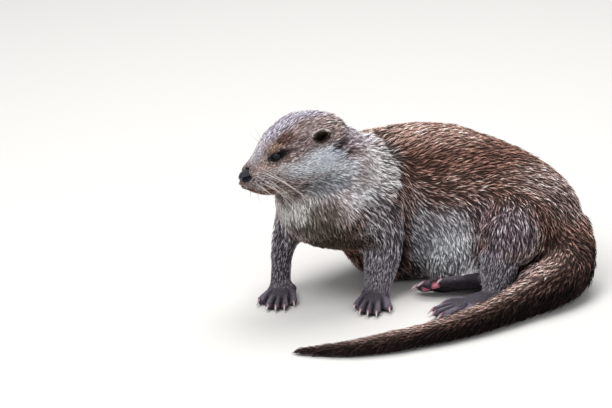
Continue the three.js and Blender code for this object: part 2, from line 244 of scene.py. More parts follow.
# ---------- Camera, light and floor ----------
LENS = 186.3
CAMERA_RISE = math.radians(20)
CAMERA_AIM = Vector((-0.1394, -0.0124, 0.1298))
CAMERA_DISTANCE = 3.8
LAMPS = {  # place, breadth and power
    "key": ((-0.8, -0.9, 1.9), 1.3, 33),
    "fill": ((1.6, -1.4, 1.0), 1.4, 6),
    "top": ((0.2, 0.7, 2.3), 1.6, 44),
}
LAMP_AIM = Vector((0, 0, 0.1))


def camera():
    piece = add_object("camera", bpy.data.cameras.new("camera"))
    piece.data.lens = LENS
    back = Vector((0, -math.cos(CAMERA_RISE), math.sin(CAMERA_RISE)))
    piece.location = CAMERA_AIM + back * CAMERA_DISTANCE
    piece.rotation_euler = (math.radians(90) - CAMERA_RISE, 0, 0)
    bpy.context.scene.camera = piece


def lamp(name, place, size, power):
    data = bpy.data.lights.new(name, "AREA")
    data.shape = "DISK"
    data.size = size
    data.energy = power
    piece = add_object(name, data)
    piece.location = place
    piece.rotation_euler = (LAMP_AIM - Vector(place)).to_track_quat("-Z", "Y").to_euler()


def lights():
    world = bpy.data.worlds.new("studio")
    bpy.context.scene.world = world
    world.use_nodes = True
    sky = world.node_tree.nodes["Background"].inputs
    sky["Color"].default_value = (0.92, 0.96, 1, 1)
    sky["Strength"].default_value = 0.6
    for name, settings in LAMPS.items():
        lamp(name, *settings)
    bpy.context.scene.view_settings.view_transform = "Standard"


def linear(hex_colour):
    """An sRGB hex colour as linear red, green, blue and alpha."""
    channels = [int(hex_colour[i : i + 2], 16) / 255 for i in (0, 2, 4)]
    return [c / 12.92 if c <= 0.04045 else ((c + 0.055) / 1.055) ** 2.4 for c in channels] + [1.0]


def tint(hex_colour):
    return np.array(linear(hex_colour)[:3])


def lay_over(base, hex_colour, cover):
    """A colour laid over others, as strongly at each point as its cover."""
    cover = np.reshape(cover, (-1, 1))
    return base * (1 - cover) + tint(hex_colour) * cover


def add_node(tree, kind, inputs=(), links=(), stops=(), **settings):
    """Adds a shader node, with its inputs' values and links, and a colour ramp's stops."""
    node = tree.nodes.new("ShaderNode" + kind)
    for name, value in settings.items():
        setattr(node, name, value)
    for name, value in dict(inputs).items():
        node.inputs[name].default_value = value
    for name, source in dict(links).items():
        tree.links.new(source, node.inputs[name])
    for _ in stops[2:]:
        node.color_ramp.elements.new(0.5)
    for number, (place, colour) in enumerate(stops):
        node.color_ramp.elements[number].position = place
        node.color_ramp.elements[number].color = linear(colour)
    return node


def material(name, **inputs):
    """A material, its node tree and its shader, whose inputs are named with _ for each space."""
    made = bpy.data.materials.new(name)
    made.use_nodes = True
    shader = made.node_tree.nodes["Principled BSDF"]
    for label, value in inputs.items():
        shader.inputs[label.replace("_", " ")].default_value = value
    return made, made.node_tree, shader


def feed(tree, node, **sources):
    """Links outputs to a node's inputs, which are named with _ for each space."""
    for label, source in sources.items():
        tree.links.new(source, node.inputs[label.replace("_", " ")])


# ---------- Skin: the solids' flesh as one surface ----------
VOXEL = 2.7 * MM
SEAM = 0.45 * MM  # each solid is thickened by this, so that the seams between them close


def joined_flesh():
    """The solids' flesh as one object, and for each of its faces the solid that it came from."""
    owner = []
    parts = []
    for number, name in enumerate(FLESH):
        part = add_object("flesh_" + name, nodes[name].data.copy())
        with editing(part):
            bpy.ops.mesh.remove_doubles(threshold=1e-6)
        put_points(part.data, points_of(part.data) + normals_of(part.data) * SEAM)
        owner += [number] * len(part.data.polygons)
        parts.append(part)
    for part in parts:
        part.select_set(True)
    bpy.context.view_layer.objects.active = parts[0]
    bpy.ops.object.join()
    flesh = parts[0]
    flesh.name = flesh.data.name = "skin"
    return flesh, np.array(owner)


def keep_outer_shell(piece):
    """Drops the small bubbles that the remesh leaves inside."""
    up = points_of(piece.data)[:, 2]
    with editing(piece, "VERT", np.arange(len(up)) == np.argmax(up)):
        bpy.ops.mesh.select_linked()
        bpy.ops.mesh.select_all(action="INVERT")
        bpy.ops.mesh.delete(type="VERT")


def shares_of(mesh, tree, owner, steps):
    """How much each point of the skin belongs to each solid, blended where solids meet."""
    nearest = [tree.find_nearest(Vector(p))[2] for p in points_of(mesh)]
    shares = np.zeros((len(mesh.vertices), len(FLESH)))
    shares[np.arange(len(nearest)), owner[nearest]] = 1
    return relax(shares, edges_of(mesh), 1, steps)


def of(shares, *names):
    """How much each point belongs to the named solids together."""
    return sum(shares[:, PART[name]] for name in names)


def blend(shares, *pairs):
    """A value for each point, from the value that each group of solids has."""
    return sum(of(shares, *names)[:, None] * value for names, value in pairs)


def subdivide(piece, chosen):
    """Cuts each chosen face in four."""
    with editing(piece, "FACE", chosen):
        bpy.ops.mesh.subdivide(number_cuts=1)


def face_middles(mesh):
    return read(mesh.polygons, "center", 3).astype(float)


# ---------- Length of the coat, in millimetres ----------
EAR_AT = (0, 41, 15)  # in the head's frame, on its left side
DEPTH = 0.24  # how deep the coat is, as a share of its length


def coat_length(points, shares):
    """Short on the muzzle and the feet, longest on the trunk and the root of the tail."""
    head = in_head(points)
    face = 3.1 + 3.1 * fade(head[:, 0], 84, 20) + 4.2 * fade(head[:, 0], 15, -40)
    face -= 1.5 * spot(np.abs(head), (54, 29, 9), 14) + 3.5 * spot(np.abs(head), EAR_AT, 15)
    legs = 5 + 7 * fade(points[:, 2] / MM, 30, 95)
    length = of(shares, *HEAD) * face
    length += of(shares, "neck") * 11
    length += of(shares, *TRUNK) * 12
    length -= of(shares, "chest", "neck") * 7 * spot(points / MM, (-95, -20, 86), (55, 45, 24))
    length += of(shares, "tail_base") * 12 + of(shares, "tail_middle") * 10
    length += of(shares, "tail_end") * 7.5
    length += of(shares, *LEGS) * legs
    length += of(shares, *FEET) * 2.3
    return length


def coat_contrast(points, shares):
    """How strongly the painted shade of dark gaps and the pale, partly painted tips part the locks: least on
    the face, most on the back.
    """
    here = points / MM
    head = in_head(points)
    contrast = of(shares, *HEAD) + 0.65 * of(shares, "neck") + 0.4 * of(shares, *FEET)
    contrast += of(shares, *TRUNK)
    contrast += 0.6 * of(shares, "tail_base") + 0.42 * of(shares, "tail_middle", "tail_end")
    contrast += of(shares, *LEGS)
    cheek = spot(head, (-5, 44, -15), (45, 30, 30))
    bib = spot(here, (-105, -35, 125), (45, 45, 45))
    ridge = fade(here[:, 2], 120, 165) * fade(here[:, 0], -50, -20)
    crown = fade(head[:, 2], 10, 30) * of(shares, "head", "neck")
    contrast *= (1 - 0.5 * cheek) * (1 - 0.5 * bib) * (1 - 0.35 * ridge - 0.4 * crown)
    return np.clip(contrast, 0.2, 1)


# ---------- Sculpted forms ----------
# The left half of the mouth in the head's frame, from the middle of the lips to the corner.
MOUTH = [(97, 0, -17), (92, 11, -21.5), (85, 18, -25), (70, 21, -30), (50, 23, -33), (31, 23, -34)]
# The edge of the ruff over the shoulder, from the nape down to the chest.
RUFF = [
    (-75, 78, 197), (-59, 66, 191), (-45, 50, 182), (-33, 38, 167), (-28, 28, 152),
    (-29, 14, 138), (-38, -10, 129), (-52, -19, 117),
]
# The fold before the haunch, from the knee up to the loins.
HAUNCH = [(66, 30, 36), (67, 31, 62), (74, 22, 92), (92, 14, 112), (118, 19, 124)]


def ruff_fold(points):
    """How much each point belongs to the swell of the ruff, and to the crease behind its edge."""
    here = points / MM
    distance, along = distance_to_line(here, RUFF)
    ends = fade(along, 0, 1.5) * fade(along, 7, 5.8)
    line = np.array(RUFF, float)
    first = np.clip(along.astype(int), 0, len(line) - 2)
    nearest = line[first] + (line[first + 1] - line[first]) * (along - first)[:, None]
    behind = distance * np.sign((here - nearest) @ np.array([0.8, 0.4, -0.45]))
    swell = ends * np.exp(-(((behind + 10) / 9) ** 2))
    crease = ends * np.exp(-(((behind - 4) / 5.5) ** 2))
    return swell, crease


def sculpt_body(points, normals, trunk):
    """The swell of the ruff over the shoulder, the crease behind it, and the fold before the haunch."""
    here = points / MM
    swell, crease = ruff_fold(points)
    distance, along = distance_to_line(here, HAUNCH)
    before_haunch = np.exp(-((distance / 6) ** 2)) * fade(along, 0, 0.6)
    nape = spot(here, (-78, -8, 226), (22, 26, 20))
    lap = spot(here, (128, -8, 38), (26, 22, 20))  # where the haunch rests against the tail's root
    move = 4.0 * swell - 7.0 * crease - 3.5 * before_haunch + 4.5 * nape + 7.0 * lap
    return settled(points + normals * (move * MM)[:, None], trunk)


def settled(points, trunk):
    """The belly and haunches spread on the floor under their own weight."""
    up = points[:, 2] / MM
    sag = 0.68 * trunk * fade(up, 44, 8) * np.maximum(up - 1.5, 0)
    return points - np.array([0, 0, 1]) * (sag * MM)[:, None]


PADS = [((18, 3, 18), 6), ((7, 9, 12), 6)]  # bare toe pads on the upturned sole of the right hind foot
TOE = 34  # from the middle of a claw back to where the toes part


def claw_names(foot):
    return ["%s_claw_%d" % (foot, number) for number in range(1, 6)]


def claw_of(name, heel):
    """A claw's points, their middle, and the way that it points, away from the heel."""
    points = points_of(nodes[name].data)
    centre = points.mean(axis=0)
    way = np.linalg.svd(points - centre)[2][0]
    return points, centre, way if way @ (centre - heel) > 0 else -way


def toe_lines(foot):
    """Each toe of a foot as a line from where the toes part to its claw, in millimetres."""
    lines = []
    for name in claw_names(foot):
        _, centre, way = claw_of(name, middle(foot))
        end = centre / MM
        lines.append((end - unit(way * [1, 1, 0.3]) * TOE, end))
    return lines


def toes_and_webs(points, shares):
    """How much each point belongs to the ridge of a toe, and to the webs between a foot's toes."""
    here = points / MM
    webs, toes = np.zeros(len(points)), np.zeros(len(points))
    for foot in FEET:
        near = of(shares, foot) > 0.4
        found = [distance_to_line(here[near], line) for line in toe_lines(foot)]
        distance = np.stack([d for d, _ in found], axis=1)
        first = distance.argmin(axis=1)
        rows = np.arange(len(first))
        along_toe = np.stack([a for _, a in found], axis=1)[rows, first]
        pair = np.sort(distance, axis=1)[:, :2]
        out = fade(along_toe, 0.02, 0.3)
        webs[near] = np.exp(-(((pair[:, 1] - pair[:, 0]) / 2.4) ** 2)) * out
        toes[near] = fade(pair[:, 1] - pair[:, 0], 3, 7) * out
    return toes, webs


def sculpt_feet(points, normals, shares):
    """Raises the toes and the bare pads, and sinks the webs between the toes."""
    toes, webs = toes_and_webs(points, shares)
    move = 0.4 * of(shares, *FEET) + 0.9 * toes - 4.4 * webs * fade(normals[:, 2], -0.3, 0.2)
    for place, reach in PADS:
        move += 1.6 * spot(points / MM, place, reach)
    return points + normals * (move * MM)[:, None]


NOSE_AT = (83.6, 0, -8.2)  # the middle of the nose pad in the head's frame
NOSE_RADII = (14.2, 15.6, 6.1)  # forwards, sideways and upwards


def sculpt_face(points, normals, surface):
    """The mouth, the groove under the nose, the whisker pads and the seat of the nose pad."""
    head = in_head(points)
    mirrored = fold(head, 1)
    line = np.array([in_head([surface.find_nearest(Vector(from_head(place)))[0]])[0] for place in MOUTH])
    line[0][1] = 0
    # four steps to each stretch of the line, so that the groove fades out evenly
    quarters = np.arange(0, len(line) - 1, 0.25)
    ends = np.floor(quarters).astype(int)
    share = (quarters - ends)[:, None]
    fine = np.vstack([line[ends] * (1 - share) + line[ends + 1] * share, line[-1:]])
    distance, along = distance_to_line(mirrored, fine)
    ending = 1 - 0.6 * fade(along, 16, 20)
    groove = -1.7 * np.exp(-((distance / 1.1) ** 2)) * ending
    lips = 0.7 * np.exp(-(((distance - 3.2) / 1.6) ** 2)) * ending
    split = -0.9 * np.exp(-((head[:, 1] / 0.9) ** 2)) * spot(head, (97, 0, -13), (6, 6, 6))
    pads = 0.9 * spot(mirrored, (82, 17, -14), (11, 7, 8))
    in_nose = np.linalg.norm((head - NOSE_AT) / NOSE_RADII, axis=1)
    under = 1 - 0.85 * fade(head[:, 2], -6.5, -2)
    seat = -5.0 * fade(in_nose, 1.36, 1.1) * under
    chin = 2.5 * spot(head, (90, 0, -32), (12, 14, 7))
    move = groove + lips + split + pads + seat - chin
    snout = 5.5 * spot(head, (95, 0, -17), (10, 13, 7)) - 8.0 * fade(in_nose, 1.04, 0.78) * under
    return points + (normals * move[:, None] + AHEAD * snout[:, None]) * MM


def soften(mesh, shares):
    """Rounds the flesh, draws it in by the coat's depth and sculpts the body."""
    edges = edges_of(mesh)
    points = points_of(mesh)
    softness = np.ones(len(points))
    softness -= 0.75 * of(shares, *HEAD) * fade(in_head(points)[:, 0], -30, 10)
    softness -= 0.5 * of(shares, *LEGS)
    softness -= 0.9 * of(shares, *FEET) + 0.5 * of(shares, "tail_end")
    put_points(mesh, relax(points, edges, np.clip(softness, 0.08, 1), 34))
    points = points_of(mesh)
    length = coat_length(points, relax(shares, edges, 1, 20))
    put_points(mesh, points - normals_of(mesh) * (length * DEPTH * MM)[:, None])
    trunk = of(relax(shares, edges, 1, 12), *TRUNK)
    put_points(mesh, sculpt_body(points_of(mesh), normals_of(mesh), trunk))


def front_of_head(head, back):
    return (head[:, 0] > back) & (np.abs(head[:, 1]) < 60) & (head[:, 2] > -60)


def refine(piece, tree, owner):
    """Finer faces for the front of the head and the feet, and the finest round the mouth."""
    middles = face_middles(piece.data)
    nearest = owner[[tree.find_nearest(Vector(p))[2] for p in middles]]
    front = front_of_head(in_head(middles), -20) & (nearest <= PART["neck"])
    subdivide(piece, front | (nearest >= PART["forepaw_left"]))
    x, _, z = in_head(face_middles(piece.data)).T
    subdivide(piece, (x > 28) & (z < -8 + 0.12 * (x - 28)) & (z > -42))


def skin():
    """The skin, with the surface of the flesh under it and the solid that each flesh face is from."""
    piece, owner = joined_flesh()
    tree = surface_of(piece.data)
    piece.data.remesh_voxel_size = VOXEL
    make_active(piece)
    bpy.ops.object.voxel_remesh()
    keep_outer_shell(piece)
    mesh = piece.data
    soften(mesh, shares_of(mesh, tree, owner, 6))
    refine(piece, tree, owner)
    points = points_of(mesh)
    shares = shares_of(mesh, tree, owner, 2)
    smoothed = front_of_head(in_head(points), -25) * 0.9 + of(shares, *FEET) * 0.4
    put_points(mesh, relax(points, edges_of(mesh), smoothed, 5))
    put_points(mesh, sculpt_feet(points_of(mesh), normals_of(mesh), shares))
    points = sculpt_face(points_of(mesh), normals_of(mesh), surface_of(mesh))
    points[:, 2] = np.maximum(points[:, 2], 0)
    put_points(mesh, points)
    return piece, tree, owner


# ---------- Eyelids and ears, grafted into the skin ----------
def hole_edge(bm):
    """The corners of a mesh's one open edge, in order."""
    start = next(e for e in bm.edges if e.is_boundary).verts[0]
    loop = [start]
    came = None
    while True:
        came = next(e for e in loop[-1].link_edges if e.is_boundary and e is not came)
        other = came.other_vert(loop[-1])
        if other is start:
            return loop
        loop.append(other)


def graft_axes(out):
    """Forwards, up and outwards on the side of the head, for a graft that faces this way."""
    out = unit(out)
    fore = unit(np.cross(HEAD_UP, out))
    fore = fore if fore @ AHEAD > 0 else -fore
    rise = unit(np.cross(out, fore))
    rise = rise if rise @ HEAD_UP > 0 else -rise
    return np.stack([fore, rise, out], axis=1)


def even_angles(local):
    """An evenly spaced angle for each corner of a hole's edge, as near as can be to its own."""
    rough = np.arctan2(local[:, 1], local[:, 0])
    turning = np.sign(np.sum(np.sin(np.roll(rough, -1) - rough)))
    even = turning * np.arange(len(local)) * 2 * math.pi / len(local)
    return even + np.angle(np.exp(1j * (rough - even)).mean())


def fill_hole(bm, loop, rings, place_of):
    """Faces from a hole's edge in through each ring, and a cap in the middle of the last."""
    before = loop
    for ring in rings:
        after = [bm.verts.new(place_of(p)) for p in ring]
        for j in range(len(loop)):
            k = (j + 1) % len(loop)
            bm.faces.new((before[j], before[k], after[k], after[j]))
        before = after
    cap = bm.verts.new(place_of(rings[-1].mean(axis=0)))
    for j in range(len(loop)):
        bm.faces.new((before[j], before[(j + 1) % len(loop)], cap))


def graft(piece, centre, out, hole, rings_of):
    """Cuts an oval hole in the skin and fills it with the rings that rings_of makes from its edge.

    Everything is in the graft's own frame in millimetres: forwards, up, and outwards from the centre."""
    axes = graft_axes(out)
    mesh = piece.data
    surface = surface_of(mesh)

    def place_of(local):
        return centre + axes @ (local * MM)

    def height(x, y):
        """How far outwards the skin stands at each place."""
        starts = [Vector(place_of(np.array([a, b, 40]))) for a, b in zip(x, y)]
        hits = [surface.ray_cast(start, Vector(-axes[:, 2]))[0] for start in starts]
        return np.array([((np.array(hit) - centre) @ axes[:, 2]) / MM for hit in hits])

    bm = bmesh.new()
    bm.from_mesh(mesh)
    inside = []
    for face in bm.faces:
        local = (np.array(face.calc_center_median()) - centre) @ axes / MM
        if (local[0] / hole[0]) ** 2 + (local[1] / hole[1]) ** 2 < 1 and -12 < local[2] < 25:
            inside.append(face)
    bmesh.ops.delete(bm, geom=inside, context="FACES")
    loop = hole_edge(bm)
    local = np.array([(np.array(v.co) - centre) @ axes / MM for v in loop])
    fill_hole(bm, loop, rings_of(local, even_angles(local), height), place_of)
    bmesh.ops.recalc_face_normals(bm, faces=bm.faces)
    bm.to_mesh(mesh)
    bm.free()
    mesh.update()
    points = points_of(mesh)
    local = (points - centre) @ axes / MM
    ring = np.hypot(local[:, 0] / hole[0], local[:, 1] / hole[1])
    seam = (ring > 0.8) & (ring < 1.25) & (np.abs(local[:, 2]) < 20)
    put_points(mesh, relax(points, edges_of(mesh), seam * 0.9, 6))


def from_edge(edge, oval, shares, height):
    """Rings on the skin on the way from a hole's edge to an oval, at these shares of the way."""
    places = [edge * (1 - share) + oval * share for share in shares]
    return [np.column_stack([xy, height(*xy.T)]) for xy in places]


EYE_RADIUS = 5.6
EYE_OPENING = (7.6, 8.6, 4.3, 3.7)  # from the pupil to the front corner, rear corner, upper and lower lid


def almond(angle, scale):
    front, rear, top, bottom = EYE_OPENING
    c, s = np.cos(angle), np.sin(angle)
    x = np.where(c > 0, front, rear) * c
    y = np.where(s > 0, top, bottom) * s * np.sqrt(np.abs(s))
    return np.stack([x, y], axis=1) * scale


# Each ring of the lids: its size beside the opening, its height over the eyeball, where it has one,
# and how deep it lies under the skin. Then the rings in behind the lids: their size and their depth.
LID_RINGS = ((1.5, 0, 0.7), (1.32, 0.9, 0.3), (1.16, 1.25, 0.2), (1.03, 1.1, 0.6), (0.97, 0.5, 1.2))
INNER_RINGS = ((0.9, 0.6), (0.6, 2.5))


def eyelids(local, angle, height):
    """From the skin to the lid fold, up over the lid and in behind its edge."""

    def eyeball(xy, radius):
        return np.sqrt(np.maximum(radius**2 - (xy**2).sum(axis=1), 0))

    rings = from_edge(local[:, :2], almond(angle, 1.5), (0.25, 0.5, 0.75), height)
    upper = np.where(np.sin(angle) > 0, 1.0, 0.6)
    for scale, lift, sink in LID_RINGS:
        xy = almond(angle, scale)
        out = height(*xy.T) - sink * upper
        if lift:
            out = np.maximum(eyeball(xy, EYE_RADIUS + lift), out)
        rings.append(np.column_stack([xy, out]))
    for scale, drop in INNER_RINGS:
        xy = almond(angle, scale)
        rings.append(np.column_stack([xy, np.maximum(eyeball(xy, EYE_RADIUS), 1.5) - drop]))
    return rings


EAR_OPENING = (10.2, 7.2)  # half its length and half its height
# Each ring of the ear: its size beside the opening, its share of the rim's height, and a further rise.
EAR_RINGS = (
    (1.16, 0.10, 0.3), (1.12, 0.40, 0.3), (1.1, 0.72, 0.3), (1.06, 0.94, 0.4), (0.99, 1.0, 0.5),
    (0.92, 0.94, 0.2), (0.86, 0.74, 0), (0.78, 0.45, -0.4), (0.66, 0.2, -1.4), (0.48, 0, -3.0),
    (0.25, 0, -4.2),
)
EAR_LEAN = np.array([-0.28, 0.12])  # backwards and up, for each millimetre of rise


def pinna(local, angle, height):
    """A low round ear: up its outer side, over the rim and down into the hollow."""
    oval = np.stack([np.cos(angle) * EAR_OPENING[0], np.sin(angle) * EAR_OPENING[1]], axis=1)
    rim = 4.6 - 3.6 * np.cos(angle - math.radians(-50))
    ground = height(*(oval * 1.1).T)
    rings = from_edge(local[:, :2], oval * 1.28, (0.35, 0.7), height)
    for scale, share, extra in EAR_RINGS:
        rise = rim * share + extra
        xy = oval * scale + EAR_LEAN * np.maximum(rise, 0)[:, None]
        rings.append(np.column_stack([xy, ground + rise]))
    return rings


# The way that the eye and the ear face, in the head's frame, on its left side.
EYE_OUT = (0.40, 0.88, 0.16)
EAR_OUT = (0.16, 0.93, 0.30)


def graft_all(piece):
    """Both eyes' lids and both ears, each with the size of its hole."""
    for side, s in SIDES:
        mirror = np.array([1, s, 1])
        graft(piece, middle("eye_" + side), HEAD_AXES @ unit(EYE_OUT * mirror), (13.5, 10.5), eyelids)
        graft(piece, from_head(EAR_AT * mirror), HEAD_AXES @ unit(EAR_OUT * mirror), (14.5, 11.5), pinna)


def out_from_ear(head):
    """How far each point is from an ear's middle, 1 at its opening's edge, and its height there."""
    beside = fold(head, 1) - np.array(EAR_AT)
    out = unit(np.array(EAR_OUT))
    fore = unit(np.cross((0, 0, 1), out))
    rise = np.cross(out, fore)
    x, y, z = -beside @ fore, beside @ rise, beside @ out
    ratio = np.hypot((x + 1.0) / EAR_OPENING[0], (y - 0.4) / EAR_OPENING[1])
    return np.where(np.abs(z) < 16, ratio, 9), y


# ---------- Lie of the coat ----------
# The lines that the coat runs along, from the nape to the tail's tip and down each limb.
SPINE = [
    (-112, 8, 190), (-100, 22, 160), (-91, 34, 130), (-69, 70, 117), (-27, 100, 108), (25, 116, 102),
    (75, 113, 94), (117, 98, 83), (151, 78, 69), (181, 58, 52), (182, 45, 42), (175, 11, 32),
    (151, -21, 26), (119, -52, 22), (89, -82, 19), (49, -113, 16), (5, -139, 15), (-39, -159, 13),
    (-83, -172, 11), (-123, -173, 8), (-158, -169, 5),
]
LIMBS = {
    "foreleg_left": [(-61, 8, 140), (-53, 10, 98), (-47, 14, 66), (-52, 7, 38), (-56, 0, 10)],
    "foreleg_right": [(-143, 8, 140), (-157, 16, 94), (-168, 22, 62), (-170, 20, 38), (-171, 16, 10)],
    "thigh_left": [(128, 72, 130), (121, 44, 84), (105, 26, 60), (93, 16, 40), (90, 0, 20)],
    "thigh_right": [(94, 78, 60), (63, 65, 46), (33, 51, 38), (12, 44, 34), (-2, 42, 30)],
    "shank_left": [(95, 16, 60), (93, 7, 38), (90, 0, 18), (87, -4, 8)],
    "shank_right": [(30, 52, 30), (41, 50, 28), (61, 38, 22), (77, 24, 16)],
    "forepaw_left": [(-55, 12, 20), (-56, 2, 12), (-62, -60, 4)],
    "forepaw_right": [(-169, 32, 20), (-169, 20, 12), (-180, -42, 4)],
    "hind_foot_left": [(92, 0, 20), (80, -10, 12), (0, -72, 4)],
    "hind_foot_right": [(90, 20, 18), (78, 16, 14), (-15, 9, 14)],
}


def along(points, line):
    """The way that a broken line runs beside each point."""
    line = np.array(line, float)
    ways = unit(line[1:] - line[:-1])
    middles = (line[1:] + line[:-1]) / 2
    distance = np.linalg.norm(points[:, None, :] - middles[None], axis=2)
    weight = (distance + 4.0) ** -5
    return unit((weight[:, :, None] * ways[None]).sum(axis=1))


def lie_on_head(head):
    """In the head's frame: back from the nose, round the eyes, and out to the ruff."""
    side = np.sign(head[:, 1])
    low = fade(head[:, 2], 5, -25)
    way = np.zeros_like(head)
    way[:, 0] = -1
    way[:, 1] = side * 0.22 * fade(head[:, 0], 40, 75)
    way[:, 2] = -0.35 * low * fade(head[:, 0], 20, 60) - 0.12 * low
    from_eye = fold(head, 0, 1) - np.array([56, 29, 9.5])
    near = np.exp(-((np.linalg.norm(from_eye, axis=1) / 11) ** 2))
    way += near[:, None] * (unit(from_eye) * [1, 0, 1]) * 1.3
    from_nose = head - np.array([92, 0, -6])
    blunt = np.exp(-((np.linalg.norm(from_nose, axis=1) / 15) ** 2))
    way += blunt[:, None] * unit(from_nose) * [0, 1.2, 1.2]
    return way


# How the near side is combed: a place, the way that the coat lies there, and the reach of it.
COMB = (
    ((-25, 80, 186), (0.72, 0.24, 0.62), 30),
    ((6, 68, 171), (0.82, 0.20, 0.50), 26),
    ((24, 56, 146), (0.94, 0.12, 0.30), 28),
    ((61, 63, 150), (0.97, 0.08, 0.18), 32),
    ((98, 73, 156), (1.00, 0.00, 0.03), 32),
    ((134, 66, 145), (0.94, -0.10, -0.30), 30),
    ((170, 45, 114), (0.72, -0.24, -0.62), 32),
    ((188, 22, 71), (0.45, -0.30, -0.80), 24),
    ((119, 4, 110), (0.22, -0.34, -0.93), 28),
    ((95, -9, 82), (0.00, -0.34, -0.94), 28),
    ((101, -10, 38), (-0.15, -0.34, -0.90), 20),
    ((73, 39, 97), (0.50, -0.30, -0.80), 26),
    ((43, 49, 74), (0.30, -0.30, -0.88), 28),
    ((12, 43, 99), (0.66, -0.20, -0.66), 24),
    ((36, 50, 125), (0.93, 0.00, -0.12), 26),
    ((-22, 38, 155), (0.45, -0.30, -0.80), 16),
    ((-10, 32, 112), (0.62, -0.25, -0.72), 24),
    ((-26, -7, 114), (0.55, -0.30, -0.78), 20),
    ((24, 30, 42), (0.20, -0.30, -0.92), 22),
    ((55, 29, 36), (-0.10, -0.30, -0.95), 16),
    ((-50, 18, 175), (0.99, 0.10, 0.02), 24),
    ((-36, 16, 156), (0.97, 0.10, -0.15), 20),
    ((-69, -31, 173), (0.95, -0.10, -0.25), 22),
    ((-74, -20, 148), (0.80, -0.20, -0.50), 22),
    ((-100, -44, 156), (0.75, -0.20, -0.62), 20),
    ((-123, -48, 135), (0.25, -0.30, -0.90), 22),
)


def combed(way, here, normals):
    """Turns the lie on the near side to the way that it is combed there."""
    weights = np.stack([spot(here, place, reach) for place, _, reach in COMB], axis=1)
    total = weights.sum(axis=1)
    guide = weights @ np.array([way for _, way, _ in COMB]) / np.maximum(total, 1e-6)[:, None]
    facing = normals @ np.array([0, -0.94, 0.34])
    share = (np.clip(total * 1.4, 0, 1) * fade(facing, -0.2, 0.3))[:, None]
    return unit(way) * (1 - share) + guide * share


def lie(points, normals, shares):
    """The way that the coat lies at each point of the skin."""
    here = points / MM
    x, y, z = here.T
    down = np.array([0.0, 0, -1])
    steep = np.clip(1 - normals[:, 2], 0, 1.6)
    trunk = along(here, SPINE) + down * (0.75 * steep * fade(z, 190, 120))[:, None]
    throat = fade(z, 172, 138) * fade(x, -62, -98)
    droop = 0.12 + 2.2 * throat + 0.7 * fade(z, 150, 120)
    neck = unit(HEAD_AXES @ np.array([-1.0, 0, 0]) * [1, 1, 0.4]) + down * droop[:, None]
    ruff = (fade(x, -26, -46) * fade(z, 112, 140))[:, None]
    chest = unit(trunk) * (1 - ruff) + unit(neck) * ruff * 1.5
    shoulder = spot(here, (-62, -25, 105), (48, 40, 48))[:, None]
    chest = chest * (1 - shoulder) + np.array([0.55, 0.1, -0.85]) * 1.6 * shoulder
    bib = (fade(x, -75, -100) * fade(z, 150, 130) * fade(y, 30, 0))[:, None]
    chest = chest * (1 - bib) + (down + [0.05, 0.1, 0]) * bib * 1.5
    way = blend(
        shares,
        (HEAD, lie_on_head(in_head(points)) @ HEAD_AXES.T),
        (("neck",), neck),
        (("chest",), chest),
        (("loins", "rump") + TAIL, trunk),
        *(((name,), along(here, line)) for name, line in LIMBS.items()),
    )
    parts = ("neck", "chest", "loins", "rump", "thigh_left", "thigh_right", "foreleg_left", "tail_base")
    body = of(shares, *parts)[:, None]
    way = way * (1 - body) + combed(way, here, normals) * body
    return flat_on(way, normals)


# ---------- Markings: the mean colour of the coat, with painted light and shade in places ---
# Each is a colour, a place, its reach along each axis and its strength. On the head the places are in
# the head's frame and hold for both sides; on the body they are in the body's.
FACE_MARKS = (
    ("a79fb0", (30, 0, 34), (62, 20, 18), 0.9),  # silvery crown and bridge: silver-tipped hair with a painted bluish sheen from above
    ("c4b9c2", (75, 0, 14), (24, 14, 13), 0.85),
    ("604640", (42, 27, 24), (17, 9, 8), 0.95),  # dark streaks of the brow
    ("b39077", (56, 25, 18), (10, 8, 5), 0.9),  # light patch over the eye
    ("8b7675", (26, 39, 14), (16, 14, 9), 0.8),  # temple
    ("ddd2d6", (50, 33, -6), (17, 10, 5), 0.95),  # pale stripe under the eye
    ("c3b9bd", (42, 33, -17), (18, 12, 10), 0.7),
    ("d0ad9e", (70, 24, 1), (14, 12, 8), 0.8),
    ("e8eeff", (4, 47, -12), (30, 24, 16), 1.0),  # white cheek
    ("e3e7f0", (30, 40, -14), (18, 16, 9), 0.8),
    ("e6eaf4", (-16, 42, -33), (20, 20, 12), 0.9),
    ("a4a7ae", (8, 32, -44), (34, 26, 16), 0.9),
    ("a89094", (-42, 38, -6), (22, 18, 14), 0.95),  # brown behind the ear
    ("d0bfca", (-46, 12, -2), (20, 20, 18), 0.75),  # back of the head
    # painted shadow below and behind the ear
    ("432f2c", (-21, 45, -3), (14, 12, 6), 0.95),
    ("5f4c49", (-31, 37, -18), (9, 10, 6), 0.8),
    ("a29192", (6, 42, 27), (20, 12, 8), 0.7),  # lighter over the ear
    ("1e1615", (54, 28, 11), (13, 9, 4.2), 0.9),  # dark round the eye
    ("261c1b", (44, 31, 12), (8, 8, 3.2), 0.8),
    ("15100e", (62, 25.5, 8), (6, 6, 3.2), 0.9),  # inner corner of the eye
    ("b5a3a9", (77, 25, -10), (13, 12, 9), 0.8),  # whisker pad
    ("7b5340", (92, 8, -23), (9, 9, 4.5), 0.85),  # rusty lips
    ("774c35", (76, 18, -31), (16, 9, 4.5), 0.85),
    ("8a7a6b", (55, 0, -42), (30, 16, 8), 0.6),  # chin
    ("3a2e2d", (28, 18, -40), (5, 8, 4), 0.85),  # corner of the mouth
)
